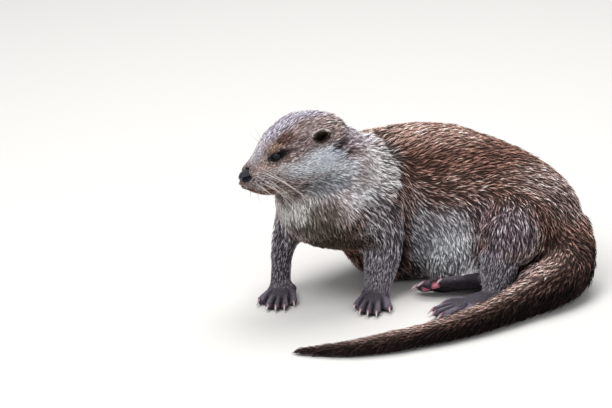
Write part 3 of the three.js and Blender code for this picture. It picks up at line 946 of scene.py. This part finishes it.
BODY_MARKS = (
    ("e8dce8", (-85, 35, 200), (34, 26, 16), 0.8),  # nape
    ("b8a6a7", (-100, -15, 195), (22, 26, 16), 0.5),
    ("fbefeb", (-42, 20, 160), (16, 42, 28), 0.95),  # pale edge of the ruff
    ("efe2df", (-62, 14, 172), (22, 32, 20), 0.85),
    ("dcdbe3", (-74, -10, 145), (26, 32, 16), 0.85),
    ("bcb0b8", (-58, -14, 112), (28, 24, 30), 0.85),  # in front of the shoulder
    ("3a2e2d", (-28, 36, 90), (11, 30, 34), 0.85),  # painted shade behind the foreleg
    ("f6f2ec", (-150, -32, 136), (26, 30, 26), 0.95),  # throat: its own pale colour with painted light on its lit side
    ("665c51", (-118, -46, 130), (26, 26, 20), 0.85),  # chest, darkest low down: its own colour with painted shade under the head and between the forelegs
    ("534a40", (-125, -38, 106), (46, 40, 15), 0.9),
    ("433b32", (-100, -15, 84), (50, 40, 14), 0.9),
    ("c09b92", (-10, 31, 119), (20, 30, 26), 0.8),  # shoulder behind the ruff
    ("caa193", (20, 94, 184), (80, 32, 16), 0.8),  # painted light on the top of the back
    ("9c7a70", (46, 50, 122), (42, 30, 24), 0.8),  # side
    ("221b1c", (-25, 46, 58), (8, 34, 40), 0.95),  # painted shade before the belly, between the foreleg and the pale flank
    ("c4bec8", (0, 44, 68), (15, 30, 44), 0.92),  # grey flank
    ("efe6f1", (36, 46, 76), (30, 30, 26), 0.9),
    ("f6f6ff", (30, 42, 55), (30, 28, 20), 1.0),
    ("776c76", (-168, 14, 60), (24, 26, 50), 0.7),  # shaded foreleg
    ("f8f8ff", (20, 30, 38), (28, 26, 14), 1.0),  # belly and knee
    ("f2eaf2", (56, 27, 36), (17, 20, 15), 0.95),
    ("4a4246", (-12, 40, 12), (24, 32, 16), 0.85),  # painted shade under the belly
    ("c3bdc6", (18, 66, 16), (18, 30, 14), 0.85),
    ("9c8d99", (110, 0, 80), (34, 40, 45), 0.75),  # haunch: its own colour with the painted purple-grey sheen of wet hair
    ("7f6a70", (74, 38, 97), (14, 26, 28), 0.8),  # before the haunch
    ("b8988f", (152, 62, 134), (44, 34, 24), 0.85),  # over the seat
    ("93807f", (165, 70, 100), (40, 36, 26), 0.6),
    ("5e463f", (180, 8, 50), (24, 32, 28), 0.75),  # painted shade on the outer turn of the tail
    ("c9a597", (140, -12, 62), (36, 28, 11), 0.75),  # pale upper edge of the tail: pale hair tips with painted light on the lit rim
)
WHISKER_ROOTS = [(x, 17 + row, -5 - 4.2 * row) for row in range(4) for x in (88, 84, 79.5, 75, 70.5)]
BACK = "7e5c50"
# The tail's colours: paler on top with painted sheen and near black below with painted shade, over its own
# dark brown, darker towards the tip.
TAIL_TOP_AND_SHEEN, TAIL_SIDE, TAIL_UNDERSIDE_AND_SHADE, TAIL_END = "b99a90", "59423a", "1d120f", "3d2d2a"
LEG, FOOT = "b2a7b2", "575059"
NECK, NAPE, FACE = "d8c7c8", "8a746c", "a08a85"
# The second colour is near black: dark skin with painted shade in the webs between the toes, and the dark
# spots at the whisker roots.
PAD_PINK, WEB_SHADE_AND_WHISKER_SPOTS, BARE = "bd6f80", "0e0a0c", "120d0d"
# The last of the ear's colours is dark skin with painted shade deep in its hollow.
EAR, EAR_RIM, EAR_INNER, EAR_HOLLOW_SKIN_AND_SHADE = "3c3029", "c2b3ad", "483d34", "120d0b"


def markings(points, normals, shares):
    here = points / MM
    head = fold(in_head(points), 1)
    far = fade(normals[:, 1], 0.1, 0.6)
    towards_tip = fade(here[:, 0], 60, -170) * fade(here[:, 1], 30, -30)
    # painted light and shade on the tail: paler where it faces up, darker where it faces down
    tail = lay_over(tint(TAIL_UNDERSIDE_AND_SHADE), TAIL_SIDE, fade(normals[:, 2], 0.1, 0.85))
    tail = lay_over(tail, TAIL_TOP_AND_SHEEN, fade(normals[:, 2], 0.8, 1.0))
    tail = lay_over(tail, TAIL_END, 0.85 * towards_tip)
    colour = blend(
        shares,
        (HEAD, tint(FACE)),
        (("neck",), lay_over(tint(NECK), NAPE, far)),
        (TRUNK, tint(BACK)),
        (TAIL, tail),
        (LEGS, tint(LEG)),
        (FEET, tint(FOOT)),
    )
    # painted shade on the right hind foot, which lies under the belly
    colour *= 1 - 0.5 * of(shares, "hind_foot_right")[:, None]
    on_head = fade(of(shares, *HEAD, "neck"), 0.1, 0.6)
    for hex_colour, place, reach, strength in FACE_MARKS:
        colour = lay_over(colour, hex_colour, strength * on_head * fade(spot(head, place, reach), 0.05, 0.75))
    for x, _, z in WHISKER_ROOTS:
        colour = lay_over(colour, WEB_SHADE_AND_WHISKER_SPOTS, 0.85 * of(shares, *HEAD) * spot(head[:, [0, 2]], (x, z), 1.3))
    on_body = 1 - fade(of(shares, *HEAD, *FEET, "tail_middle", "tail_end"), 0.3, 0.7)
    for hex_colour, place, reach, strength in BODY_MARKS:
        cover = strength * on_body * fade(spot(here, place, reach), 0.05, 0.75)
        colour = lay_over(colour, hex_colour, cover * (1 - 0.8 * far))
    return colour


# ---------- Coat ----------
# For each coat piece: its slot, the solids that it covers, how many strands lie over one another,
# strands to a lock, and a strand's width as a share of its length.
COATS = {
    "coat_muzzle": ("face_coat", HEAD, 1.9, 3, 0.085),
    "coat_face": ("face_coat", HEAD, 2.6, 3, 0.08),
    "coat_crown": ("face_coat", HEAD, 2.4, 3, 0.068),
    "coat_neck": ("pale_coat", ("neck",), 2.9, 4, 0.046),
    "coat_chest": ("back_coat", ("chest",), 1.9, 4, 0.046),
    "coat_loins": ("back_coat", ("loins",), 2.2, 4, 0.046),
    "coat_rump": ("back_coat", ("rump",), 2.35, 4, 0.045),
    "coat_thighs": ("back_coat", ("thigh_left", "thigh_right"), 2.6, 4, 0.045),
    "coat_tail": ("tail_coat", TAIL, 1.95, 4, 0.05),
    "coat_legs": ("leg_coat", LEGS, 1.65, 3, 0.06),
    "coat_feet": ("foot_skin", FEET, 0.46, 3, 0.17),
}
# The head's pieces, from how far back to how far forward on it.
HEAD_RANGES = {"coat_muzzle": (60, 200), "coat_face": (20, 60), "coat_crown": (-200, 20)}
PATCH = 0.003  # across a strand's patch on the unwrap
CLEAR = 0.2  # the least height of a strand over the floor
SCATTER = 90  # over how many millimetres of the fine hairs' pattern the strands are spread
COAT_SEED, WHISKER_SEED = 40, 7

# A strand has three corners at its root, three half way and one at its tip. Across and along it, from 0
# to 1, the seven lie here, and its faces join them.
STRAND = np.array([(0, 0), (0.5, 0), (1, 0), (0, 0.5), (0.5, 0.5), (1, 0.5), (0.5, 1)])
STRAND_FACES = ((0, 1, 4, 3), (1, 2, 5, 4), (2, 0, 3, 5), (3, 4, 6), (4, 5, 6), (5, 3, 6), (0, 2, 1))
STRAND_CORNERS = np.concatenate(STRAND_FACES)


def triangles_of(mesh):
    mesh.calc_loop_triangles()
    corners = read(mesh.loop_triangles, "vertices", 3, np.int32)
    loops = read(mesh.loop_triangles, "loops", 3, np.int32)
    return corners, loops


def lock_roots(name, fields, rng):
    """Where a piece's locks grow: the triangle of skin of each, and the weights of its three corners."""
    _, parts, layers, count, width = COATS[name]
    corners, _ = fields["triangles"]
    share = of(fields["shares"], *parts)[corners].mean(axis=1)
    if name in HEAD_RANGES:
        rear, front = HEAD_RANGES[name]
        forward = fields["forward"][corners].mean(axis=1)
        share = share * ((forward > rear) & (forward <= front))
    a, b, c = (fields["points"][corners[:, k]] for k in range(3))
    area = np.linalg.norm(np.cross(b - a, c - a), axis=1) / 2 / MM**2
    lock_area = fields["length"][corners].mean(axis=1) ** 2 * width * count
    density = area * share * fields["density"][corners].mean(axis=1) * layers / lock_area
    total = np.cumsum(density)
    locks = int(total[-1])
    chosen = np.searchsorted(total, (np.arange(locks) + rng.random(locks)) * total[-1] / locks)
    u, v = rng.random(locks), rng.random(locks)
    beyond = u + v > 1
    u[beyond], v[beyond] = 1 - u[beyond], 1 - v[beyond]
    return np.clip(chosen, 0, len(total) - 1), np.stack([1 - u - v, u, v], axis=1)


def locks_of(name, fields, rng):
    """A piece's locks, as named values that have a row for each lock; lengths are in millimetres."""
    corners, loops = fields["triangles"]
    chosen, weights = lock_roots(name, fields, rng)
    count = len(chosen)

    def pick(field, items=corners):
        values = fields[field].reshape(len(fields[field]), -1)
        picked = (values[items[chosen]] * weights[:, :, None]).sum(axis=1)
        return picked if fields[field].ndim == 2 else picked[:, 0]

    normal = unit(pick("normals"))
    way = flat_on(pick("lie"), normal)
    swing = rng.normal(0, 0.16, count)
    way = unit(way + np.cross(normal, way) * swing[:, None])
    length = pick("length") * rng.uniform(0.75, 1.2, count)
    standing = rng.random(count)
    height = length * DEPTH * (0.2 + 0.9 * standing**1.4) * pick("lift")
    bend = rng.normal(0, 0.09, count) * length
    root = pick("points")
    contrast = pick("contrast")
    # locks that lie together share a tone, and those that stand highest are the palest: painted light on the
    # top of the coat, painted shade on the low locks
    clump_size = max(0.3 * np.median(length), 2.1) * MM
    clump = np.array([noise.noise(Vector(place / clump_size)) for place in root])
    tone = np.exp((rng.normal(0, 0.45, count) + 0.9 * clump) * (0.4 + 0.6 * contrast))
    tone *= 1 + contrast * (1.5 * fade(standing, 0.3, 0.95) - 0.6)
    return {
        "root": root, "way": way, "side": np.cross(normal, way), "normal": normal, "length": length,
        "height": height, "bend": bend, "tone": tone, "contrast": contrast, "colour": pick("colour"),
        "place": pick("uv", loops),
    }


def strand_shapes(strands, order, count, width, rng):
    """The seven points of every strand, and half its breadth in millimetres."""
    n = len(order)
    size, bend, rise = strands["length"], strands["bend"], strands["height"]
    half = size * width * 0.5 * rng.uniform(0.7, 1.3, n)
    gap = size * width * (count - 1) * 0.5
    across = order * gap + rng.normal(0, 0.8, n) * half
    back = -rng.uniform(-0.05, 0.25, n) * size
    reach = size * (1 - 0.3 * rng.random(n) ** 1.5)
    middle_across = rng.uniform(0.45, 0.85, n) * across + 0.35 * bend
    tip_across = 0.2 * across + bend + rng.normal(0, 0.5, n) * half

    def place(sideways, forwards, out):
        """A place beside each root, kept over the floor."""
        moved = strands["side"] * sideways[:, None] + strands["way"] * forwards[:, None]
        at = strands["root"] + (moved + strands["normal"] * out[:, None]) * MM
        at[:, 2] = np.maximum(at[:, 2], CLEAR * MM)
        return at

    start = place(across, back, -(0.05 * size + 0.2))
    bow = place(middle_across, 0.46 * reach, 0.78 * rise)
    ring = []
    for at, scale in ((start, 0.85), (bow, 1.0)):
        spread = (strands["side"] * (half * scale)[:, None]) * MM
        ridge = strands["normal"] * (half * 1.1 * scale)[:, None] * MM
        ring += [at + spread, at + ridge, at - spread]
    return np.stack(ring + [place(tip_across, reach, rise)], axis=1), half


def strand_mesh(name, points):
    """A mesh of strands, from the seven points of each."""
    n, each = points.shape[:2]
    corners = np.arange(n)[:, None] * each + STRAND_CORNERS
    starts = np.cumsum([0] + [len(face) for face in STRAND_FACES[:-1]])
    starts = np.arange(n)[:, None] * len(STRAND_CORNERS) + starts
    mesh = bpy.data.meshes.new(name)
    mesh.vertices.add(n * each)
    mesh.vertices.foreach_set("co", points.astype(np.float32).ravel())
    mesh.loops.add(corners.size)
    mesh.loops.foreach_set("vertex_index", corners.astype(np.int32).ravel())
    mesh.polygons.add(starts.size)
    mesh.polygons.foreach_set("loop_start", starts.astype(np.int32).ravel())
    mesh.update(calc_edges=True)
    mesh.validate()
    shade_smooth(mesh)
    return mesh


def strand_colours(strands, order, rng):
    """Painted shade at the root and on each strand's edges, a painted highlight on its ridge, the marking's
    own tone half way, and a pale tip, partly pale hair and partly painted sheen.
    """
    contrast = strands["contrast"]
    own = strands["tone"] * np.exp(rng.normal(0, 0.26, len(order)) * contrast)
    # the middle strands of a lock lighter and the outer ones darker: painted light across the lock
    own *= 1 + contrast * (0.45 - 0.95 * np.abs(order) ** 1.5)
    shade = strands["colour"] * own[:, None]
    sharp = contrast[:, None]
    grey = shade.mean(axis=1, keepdims=True)
    # painted shade at the root and edges, a painted highlight on the ridge, and a tip paled partly by painted
    # sheen
    root_edge, root_ridge = shade * (1 - 0.9 * sharp), shade * (1 - 0.7 * sharp)
    edge, ridge = shade * (1 - 0.62 * sharp), shade * (1 + 0.62 * sharp) + 0.1 * sharp * grey
    tip = shade * (1 + 1.2 * sharp) + (0.16 * grey + 0.004) * sharp
    return np.stack([root_edge, root_ridge, root_edge, edge, ridge, edge, tip], axis=1)


def coat(name, fields, finish, rng):
    """Locks of strands that start side by side on the skin and run together to a point."""
    slot, _, _, count, width = COATS[name]
    locks = locks_of(name, fields, rng)
    strands = {label: np.repeat(values, count, axis=0) for label, values in locks.items()}
    order = np.tile(np.linspace(-1, 1, count), len(locks["root"]))
    points, half = strand_shapes(strands, order, count, width, rng)
    mesh = strand_mesh(name, points)
    paint(mesh, strand_colours(strands, order, rng).reshape(-1, 3))
    # each strand's patch on the unwrap, and its own breadth and length in millimetres for the fine hairs
    patch = strands["place"][:, None, :] + (STRAND - 0.5) * PATCH
    span = np.stack([half * 2, strands["length"]], axis=1)
    own = STRAND * span[:, None, :] + rng.random((len(order), 1, 2)) * SCATTER
    for label, places in (("OFBake", patch), ("strand", own)):
        layer = mesh.uv_layers.new(name=label)
        layer.data.foreach_set("uv", places[:, STRAND_CORNERS].astype(np.float32).ravel())
    hand_in(add_object(name, mesh), finish, slot)


# Fine patterns: how many grains there are to a metre, or hairs to a millimetre. Real hairs and pores are
# finer, and these are drawn as coarse as they need to be to show.
HAIRS, HAIR_STRETCH = 7.0, 0.07  # hairs of 0.14 mm, fourteen times as long
SKIN_GRAIN = 900.0  # of 1.1 mm
NOSE_PEBBLES, NOSE_CLOUD = 900.0, 160.0  # of 1.1 mm, and patches of 6 mm
CLAW_GRAIN = 700.0  # of 1.4 mm
WHISKER_CLOUD = 60.0  # patches of 17 mm


def grain(tree, scale, detail, strength, depth):
    """The normals of a fine cloudy grain, fixed to the piece."""
    place = add_node(tree, "TexCoord").outputs["Object"]
    cloud = add_node(tree, "TexNoise", {"Scale": scale, "Detail": detail}, {"Vector": place})
    bump = {"Strength": strength, "Distance": depth}
    return add_node(tree, "Bump", bump, {"Height": cloud.outputs["Fac"]}).outputs["Normal"]


def coat_material():
    """Guard hair, darkened at the root by painted shade and pale at the tip, partly with painted sheen,
    glossy where pale, with fine hairs along it.
    """
    made, tree, shader = material("otter guard hair, wet", Roughness=0.44, Sheen_Weight=0.0)
    marking = add_node(tree, "VertexColor", layer_name="marking").outputs["Color"]
    uv = add_node(tree, "UVMap", uv_map="strand")
    stretch = add_node(tree, "Mapping", {"Scale": (1, HAIR_STRETCH, 1)}, {"Vector": uv.outputs["UV"]})
    hairs = {"Scale": HAIRS, "Detail": 1.5}
    hairs = add_node(tree, "TexNoise", hairs, {"Vector": stretch.outputs["Vector"]})
    tone_range = {"From Min": 0.3, "From Max": 0.7, "To Min": 0.72, "To Max": 1.25}
    tone = add_node(tree, "MapRange", tone_range, {"Value": hairs.outputs["Fac"]})
    gloss_range = {"From Min": 0.0, "From Max": 0.2, "To Min": 0.05, "To Max": 0.26}
    gloss = add_node(tree, "MapRange", gloss_range, {"Value": marking})
    both = {0: marking, 1: tone.outputs["Result"]}
    toned = add_node(tree, "VectorMath", {}, both, operation="MULTIPLY")
    bump = add_node(tree, "Bump", {"Strength": 0.35, "Distance": 0.12 * MM}, {"Height": hairs.outputs["Fac"]})
    feed(
        tree, shader, Base_Color=toned.outputs["Vector"], Normal=bump.outputs["Normal"],
        Specular_IOR_Level=gloss.outputs["Result"],
    )
    return made


def skin_material():
    """Matt underfur and bare skin, darkened by painted shade under the coat, with a fine grain."""
    made, tree, shader = material("otter skin and underfur", Roughness=0.8, Specular_IOR_Level=0.1)
    marking = add_node(tree, "VertexColor", layer_name="marking")
    bump = grain(tree, SKIN_GRAIN, 3.0, 0.5, 0.3 * MM)
    feed(tree, shader, Base_Color=marking.outputs["Color"], Normal=bump)
    return made


def unwrap(piece):
    """An unwrap of the skin's own shape."""
    mesh = piece.data
    while mesh.uv_layers:
        mesh.uv_layers.remove(mesh.uv_layers[0])
    mesh.uv_layers.new(name="OFBake")
    with editing(piece):
        bpy.ops.uv.smart_project(angle_limit=math.radians(66), island_margin=0.002)


def round_the_eye(head):
    """How much each point belongs to the bare rim of an eye, which slants down to its front corner."""
    eye = fold(head, 0, 1) - np.array([53.5, 28, 9.2])
    eye[:, 2] -= 0.22 * np.minimum(-eye[:, 0], 12) - 0.5
    return np.exp(-((eye / np.array([12.5, 10, 6])) ** 4).sum(axis=1))


def dress(piece, tree, owner):
    """The skin's fields, its colours with painted light and shade among them, and the coat over it."""
    mesh = piece.data
    unwrap(piece)
    edges = edges_of(mesh)
    shares = shares_of(mesh, tree, owner, 10)
    wide = relax(shares, edges, 1, 14)
    points, normals = points_of(mesh), normals_of(mesh)
    head = in_head(points)
    toes, webs = toes_and_webs(points, shares)
    webs = 0.92 * fade(webs, 0.1, 0.7)
    swell, crease = ruff_fold(points)
    pads = np.clip(sum(fade(spot(points / MM, place, reach), 0.3, 0.6) for place, reach in PADS), 0, 1)
    ear, above = out_from_ear(head)
    hollow = 1 - fade(ear, 0.5, 0.95)
    bare = np.maximum(round_the_eye(head), hollow)

    colour = markings(points, normals, shares)
    # painted highlight on the tops of the toes, where they face up
    colour = colour * (1 + 1.3 * toes * fade(normals[:, 2], 0.1, 0.7))[:, None]
    # the webs between the toes: dark skin with painted shade
    colour = lay_over(colour, WEB_SHADE_AND_WHISKER_SPOTS, webs)
    # painted shade in the crease behind the ruff
    colour *= 1 - 0.8 * crease[:, None]
    colour = lay_over(colour, PAD_PINK, pads)
    colour *= 1 + 0.26 * fade(colour.mean(axis=1, keepdims=True), 0.3, 0.6)
    colour = lay_over(colour, EAR, 0.95 * (1 - fade(ear, 0.98, 1.12)))
    colour = lay_over(colour, EAR_RIM, 0.9 * np.exp(-(((ear - 1.16) / 0.1) ** 2)) * fade(above, 0, 5))

    density = 1 - 0.75 * (fade(points[:, 2] / MM, 5, 1.5) * fade(-normals[:, 2], 0.5, 0.9))
    density *= (1 - bare) * (1 - pads) * (1 - 0.8 * webs) * (1 - 0.7 * crease)
    fields = {
        "points": points,
        "normals": normals,
        "shares": shares,
        "lie": flat_on(relax(lie(points, normals, wide), edges, 1, 8), normals),
        "length": coat_length(points, wide),
        "lift": 1 + 0.9 * swell - 0.5 * of(shares, *FEET),
        "density": density,
        "colour": colour,
        "contrast": coat_contrast(points, wide),
        "forward": head[:, 0],
        "uv": read(mesh.uv_layers["OFBake"].data, "uv", 2).astype(float),
        "triangles": triangles_of(mesh),
    }
    finish = coat_material()
    for number, name in enumerate(COATS):
        coat(name, fields, finish, np.random.default_rng(COAT_SEED + number))

    # the skin is darker than the coat over it, painted shade as deep in the coat, and darkest round the eyes,
    # where the lids are bare, and in the ears, with painted shade in their hollows
    bright = 0.14 + 0.26 * of(shares, *HEAD) + 0.5 * of(shares, *FEET)
    bright = bright + 0.25 * pads + 0.2 * of(shares, "neck")
    own = lay_over(colour * bright[:, None], BARE, bare)
    # painted shade in the ear's hollow: darkest low down, lighter up towards the rim
    inner = lay_over(tint(EAR_HOLLOW_SKIN_AND_SHADE), EAR_INNER, fade(above, 0, 6))
    paint(mesh, own * (1 - hollow)[:, None] + inner * hollow[:, None])
    shade_smooth(mesh)
    hand_in(piece, skin_material(), "back_coat", *FLESH, "ear_left", "ear_right")


# ---------- Eyes, nose, claws and whiskers ----------
def loose(name, verts, faces, finish, slot, *replaced):
    """A piece from its corners in metres and its faces."""
    mesh = bpy.data.meshes.new(name)
    mesh.from_pydata([tuple(v) for v in verts], [], faces)
    shade_smooth(mesh)
    bm = bmesh.new()
    bm.from_mesh(mesh)
    bmesh.ops.recalc_face_normals(bm, faces=bm.faces)
    bm.to_mesh(mesh)
    bm.free()
    hand_in(add_object(name, mesh), finish, slot, *replaced)
    return mesh


def ball(name, segments, rings):
    """A round ball of radius 1 about the origin, its pole along +Z, as points to shape."""
    bpy.ops.mesh.primitive_uv_sphere_add(segments=segments, ring_count=rings, radius=1)
    piece = bpy.context.active_object
    piece.name = piece.data.name = name
    shade_smooth(piece.data)
    return piece, points_of(piece.data)


def eye(side, s, finish):
    """The eyeball, with the clear bulge of the cornea over a dark brown iris."""
    piece, points = ball("eyeball_" + side, 48, 32)
    from_pupil = np.degrees(np.arccos(np.clip(points[:, 2], -1, 1)))
    bulge = 0.35 * (1 - fade(from_pupil, 18, 46))
    out = unit(HEAD_AXES @ np.array([0.5, s * 0.84, 0.12]))
    across = unit(np.cross(HEAD_UP, out))
    axes = np.stack([across, np.cross(out, across), out], axis=1)
    shaped = (points * (EYE_RADIUS + bulge)[:, None] * MM) @ axes.T
    put_points(piece.data, middle("eye_" + side) + shaped)
    keep(piece.data, "from_pupil", from_pupil / 90)
    hand_in(piece, finish, "eye_black", "eye_" + side)


def eye_material():
    """A wet eye: almost black, a brown iris round the pupil, with a cool shine."""
    made, tree, shader = material("wet cornea over a dark iris", Roughness=0.09, IOR=1.42)
    shader.inputs["Specular Tint"].default_value = (0.5, 0.62, 0.95, 1)
    angle = add_node(tree, "Attribute", attribute_name="from_pupil")
    pupil = ((0.0, "050506"), (0.2, "070606"))
    iris = ((0.24, "130c09"), (0.42, "1a110c"))
    rim = ((0.5, "0a0706"), (0.75, "15100e"))
    ramp = add_node(tree, "ValToRGB", {}, {"Fac": angle.outputs["Fac"]}, pupil + iris + rim)
    feed(tree, shader, Base_Color=ramp.outputs["Color"])
    return made


NOSTRIL = [(95, 8.8, -9.0), (92, 12.8, -7.4), (86.5, 15.4, -5.8)]  # a comma, from its round end outwards


def nose():
    """The bare nose pad: broad above, grooved down the middle, with comma-shaped nostrils."""
    piece, points = ball("nose_pad", 128, 84)
    points = points[:, [2, 0, 1]]
    dip = math.radians(9)  # how far the pad points down
    turn = np.array([[math.cos(dip), 0, math.sin(dip)], [0, 1, 0], [-math.sin(dip), 0, math.cos(dip)]])
    shape = np.sign(points) * np.abs(points) ** np.array([0.84, 0.8, 0.9])
    shape[:, 1] *= 1 - 0.38 * fade(shape[:, 2], 0.1, -0.9)
    points = (shape * NOSE_RADII) @ turn.T + NOSE_AT
    inwards = unit(np.array(NOSE_AT) - points)
    front = fade(points[:, 0], 88, 93)
    distance, along = distance_to_line(fold(points, 1), NOSTRIL)
    breadth = 3.4 - 0.7 * along
    hole = 1 - fade(distance, 0.45 * breadth, 1.1 * breadth)
    groove = 0.8 * np.exp(-((points[:, 1] / 0.7) ** 2)) * front * fade(points[:, 2], 2, -6)
    wing = 0.6 * np.exp(-(((distance - 3.3) / 1.3) ** 2)) * front
    points += inwards * (hole * (3.6 - 0.9 * along) + groove - wing)[:, None]
    put_points(piece.data, from_head(points))
    keep(piece.data, "hollow", hole)
    hand_in(piece, nose_material(), "nose_skin", "nose")


def nose_material():
    """Bare moist skin in small pebbles, black and matt inside the nostrils, dark skin with painted shade."""
    made, tree, shader = material("bare pebbled nose skin", Specular_IOR_Level=0.42)
    shader.inputs["Specular Tint"].default_value = (0.68, 0.7, 0.95, 1)
    place = add_node(tree, "TexCoord").outputs["Object"]
    hollow = add_node(tree, "Attribute", attribute_name="hollow").outputs["Fac"]
    pebbles = add_node(tree, "TexVoronoi", {"Scale": NOSE_PEBBLES}, {"Vector": place})
    cloud = add_node(tree, "TexNoise", {"Scale": NOSE_CLOUD, "Detail": 3.0}, {"Vector": place})
    tones = ((0.3, "0f0b0e"), (0.7, "1d171d"))
    skin_tone = add_node(tree, "ValToRGB", {}, {"Fac": cloud.outputs["Fac"]}, tones)
    # near black in the nostrils: dark skin with painted shade in the hollow
    both = {"Factor": hollow, "A": skin_tone.outputs["Color"]}
    dark = add_node(tree, "Mix", {"B": linear("050404")}, both, data_type="RGBA")
    matt = add_node(tree, "MapRange", {"To Min": 0.4, "To Max": 1.0}, {"Value": hollow})
    bump = {"Strength": 0.6, "Distance": 0.25 * MM}
    bump = add_node(tree, "Bump", bump, {"Height": pebbles.outputs["Distance"]}, invert=True)
    feed(
        tree, shader, Base_Color=dark.outputs["Result"], Roughness=matt.outputs["Result"],
        Normal=bump.outputs["Normal"],
    )
    return made


def tube(centres, radii, corners, up, squash=1.0):
    """Corners and faces of a closed tapering tube; squash makes it narrower sideways."""
    verts, faces = [], []
    for centre, way, radius in zip(centres, unit(np.gradient(centres, axis=0)), radii):
        side = unit(np.cross(way, up))
        top = np.cross(side, way)
        for k in range(corners):
            angle = 2 * math.pi * k / corners
            verts.append(centre + side * math.cos(angle) * radius * squash + top * math.sin(angle) * radius)
    last = len(centres) - 1
    for i in range(last):
        for k in range(corners):
            n = (k + 1) % corners
            faces.append((i * corners + k, i * corners + n, (i + 1) * corners + n, (i + 1) * corners + k))
    faces.append(tuple(range(corners)))
    faces.append(tuple(last * corners + k for k in range(corners)))
    return verts, faces


def add_tube(verts, faces, *shape):
    """Adds a tube to a piece's corners and faces."""
    new_verts, new_faces = tube(*shape)
    faces += [tuple(len(verts) + k for k in face) for face in new_faces]
    verts += new_verts


def claws(foot, finish):
    """The five claws of a foot, curved down to blunt tips, rooted in the ends of the toes."""
    verts, faces = [], []
    t = np.linspace(0, 1, 11)
    corners = 12
    for name in claw_names(foot):
        points, centre, way = claw_of(name, middle(foot))
        reach = (points - centre) @ way
        root = points[reach < reach.min() + 0.25 * np.ptp(reach)].mean(axis=0) - way * 2.5 * MM
        tip = root + (points[np.argmax(reach)] - root) * 0.82
        arch = np.array([0, 0, 1]) * (1.5 * MM)
        line = root + (tip - root) * t[:, None] + arch * np.sin(math.pi * t**0.9)[:, None]
        radii = 1.8 * MM * (1 - t**2) ** 0.8 + 0.25 * MM
        add_tube(verts, faces, line, radii, corners, np.array([0, 0, 1.0]), 0.72)
    verts = np.array(verts)
    verts[:, 2] = np.maximum(verts[:, 2], 0.05 * MM)
    mesh = loose("claws_" + foot, verts, faces, finish, "claw_horn", *claw_names(foot))
    keep(mesh, "towards_tip", np.tile(np.repeat(t, corners), len(claw_names(foot))))


def claw_material():
    """Smooth horn, brown and dull at the root, pale and a little clear towards the tip."""
    made, tree, shader = material("claw horn", Roughness=0.34, Subsurface_Weight=0.15)
    shader.inputs["Subsurface Radius"].default_value = (0.002, 0.001, 0.0008)
    tip = add_node(tree, "Attribute", attribute_name="towards_tip")
    stops = ((0.2, "573b3f"), (0.45, "a8868a"), (0.8, "cdbdbf"), (1.0, "b3a8a8"))
    horn = add_node(tree, "ValToRGB", {}, {"Fac": tip.outputs["Fac"]}, stops)
    feed(tree, shader, Base_Color=horn.outputs["Color"], Normal=grain(tree, CLAW_GRAIN, 2.0, 0.2, 0.1 * MM))
    return made


# Root in the head's frame on the left side, the way it grows, its length, and its droop as a share of that.
WHISKERS = [
    (root, (-0.62 + 0.06 * (n % 5), 0.5, -0.32 - 0.09 * (n // 5)), 32 + 9 * (n % 5) - 3 * (n // 5), 0.22)
    for n, root in enumerate(WHISKER_ROOTS)
] + [
    ((61, 17, 23), (0.42, 0.25, 0.85), 27, 0.04),
    ((56, 20, 25), (0.1, 0.4, 0.9), 18, 0.05),
    ((90, 7, -23), (0.45, 0.3, -0.8), 9, 0.1),
    ((84, 11, -28), (0.25, 0.3, -0.9), 11, 0.1),
    ((76, 13, -32), (0.0, 0.3, -0.95), 10, 0.1),
]


def whisker_material():
    """Smooth pale keratin, a little browner here and there."""
    made, tree, shader = material("whisker keratin", Roughness=0.4)
    place = add_node(tree, "TexCoord").outputs["Object"]
    cloud = add_node(tree, "TexNoise", {"Scale": WHISKER_CLOUD}, {"Vector": place})
    stops = ((0.3, "b3a7a1"), (0.7, "ebe3dd"))
    tone = add_node(tree, "ValToRGB", {}, {"Fac": cloud.outputs["Fac"]}, stops)
    feed(tree, shader, Base_Color=tone.outputs["Color"])
    return made


def whiskers(surface, rng):
    """Pale tapering whiskers on the pads, over the eyes and on the chin."""
    verts, faces = [], []
    t = np.linspace(0, 1, 11)[:, None]
    for _, s in SIDES:
        for root, way, length, droop in WHISKERS:
            jitter = rng.normal(0, 0.09, 3)
            root = np.array(root) * [1, s, 1]
            start = np.array(surface.find_nearest(Vector(from_head(root)))[0])
            out = np.array(surface.find_nearest(Vector(from_head(root - [10, 0, 0])))[1])
            way = HEAD_AXES @ unit(np.array([way[0], s * way[1], way[2]]) + jitter)
            way = unit(way + out * max(0, 0.36 - way @ out))
            length = length * rng.uniform(0.85, 1.12) * MM
            line = start + way * length * (t - 0.04) + np.array([0, 0, -1.0]) * droop * length * t**2
            radii = 0.24 * MM * (1 - t[:, 0]) ** 0.8 + 0.05 * MM
            add_tube(verts, faces, line, radii, 4, np.array([0.3, 0.2, 0.9]))
    loose("whiskers", verts, faces, whisker_material(), "pale_coat")


def floor():
    bpy.ops.mesh.primitive_plane_add(size=9, location=(0, 0, 0))
    piece = bpy.context.active_object
    piece.name = "floor"
    made, _, shader = material("matt paper", Roughness=0.9)
    shader.inputs["Base Color"].default_value = linear("cfccc8")
    piece.data.materials.append(made)


camera()
lights()
floor()
skin_piece, flesh_tree, flesh_owner = skin()
graft_all(skin_piece)
dress(skin_piece, flesh_tree, flesh_owner)
cornea = eye_material()
for side, s in SIDES:
    eye(side, s, cornea)
nose()
horn = claw_material()
for foot in FEET:
    claws(foot, horn)
whiskers(surface_of(skin_piece.data), np.random.default_rng(WHISKER_SEED))
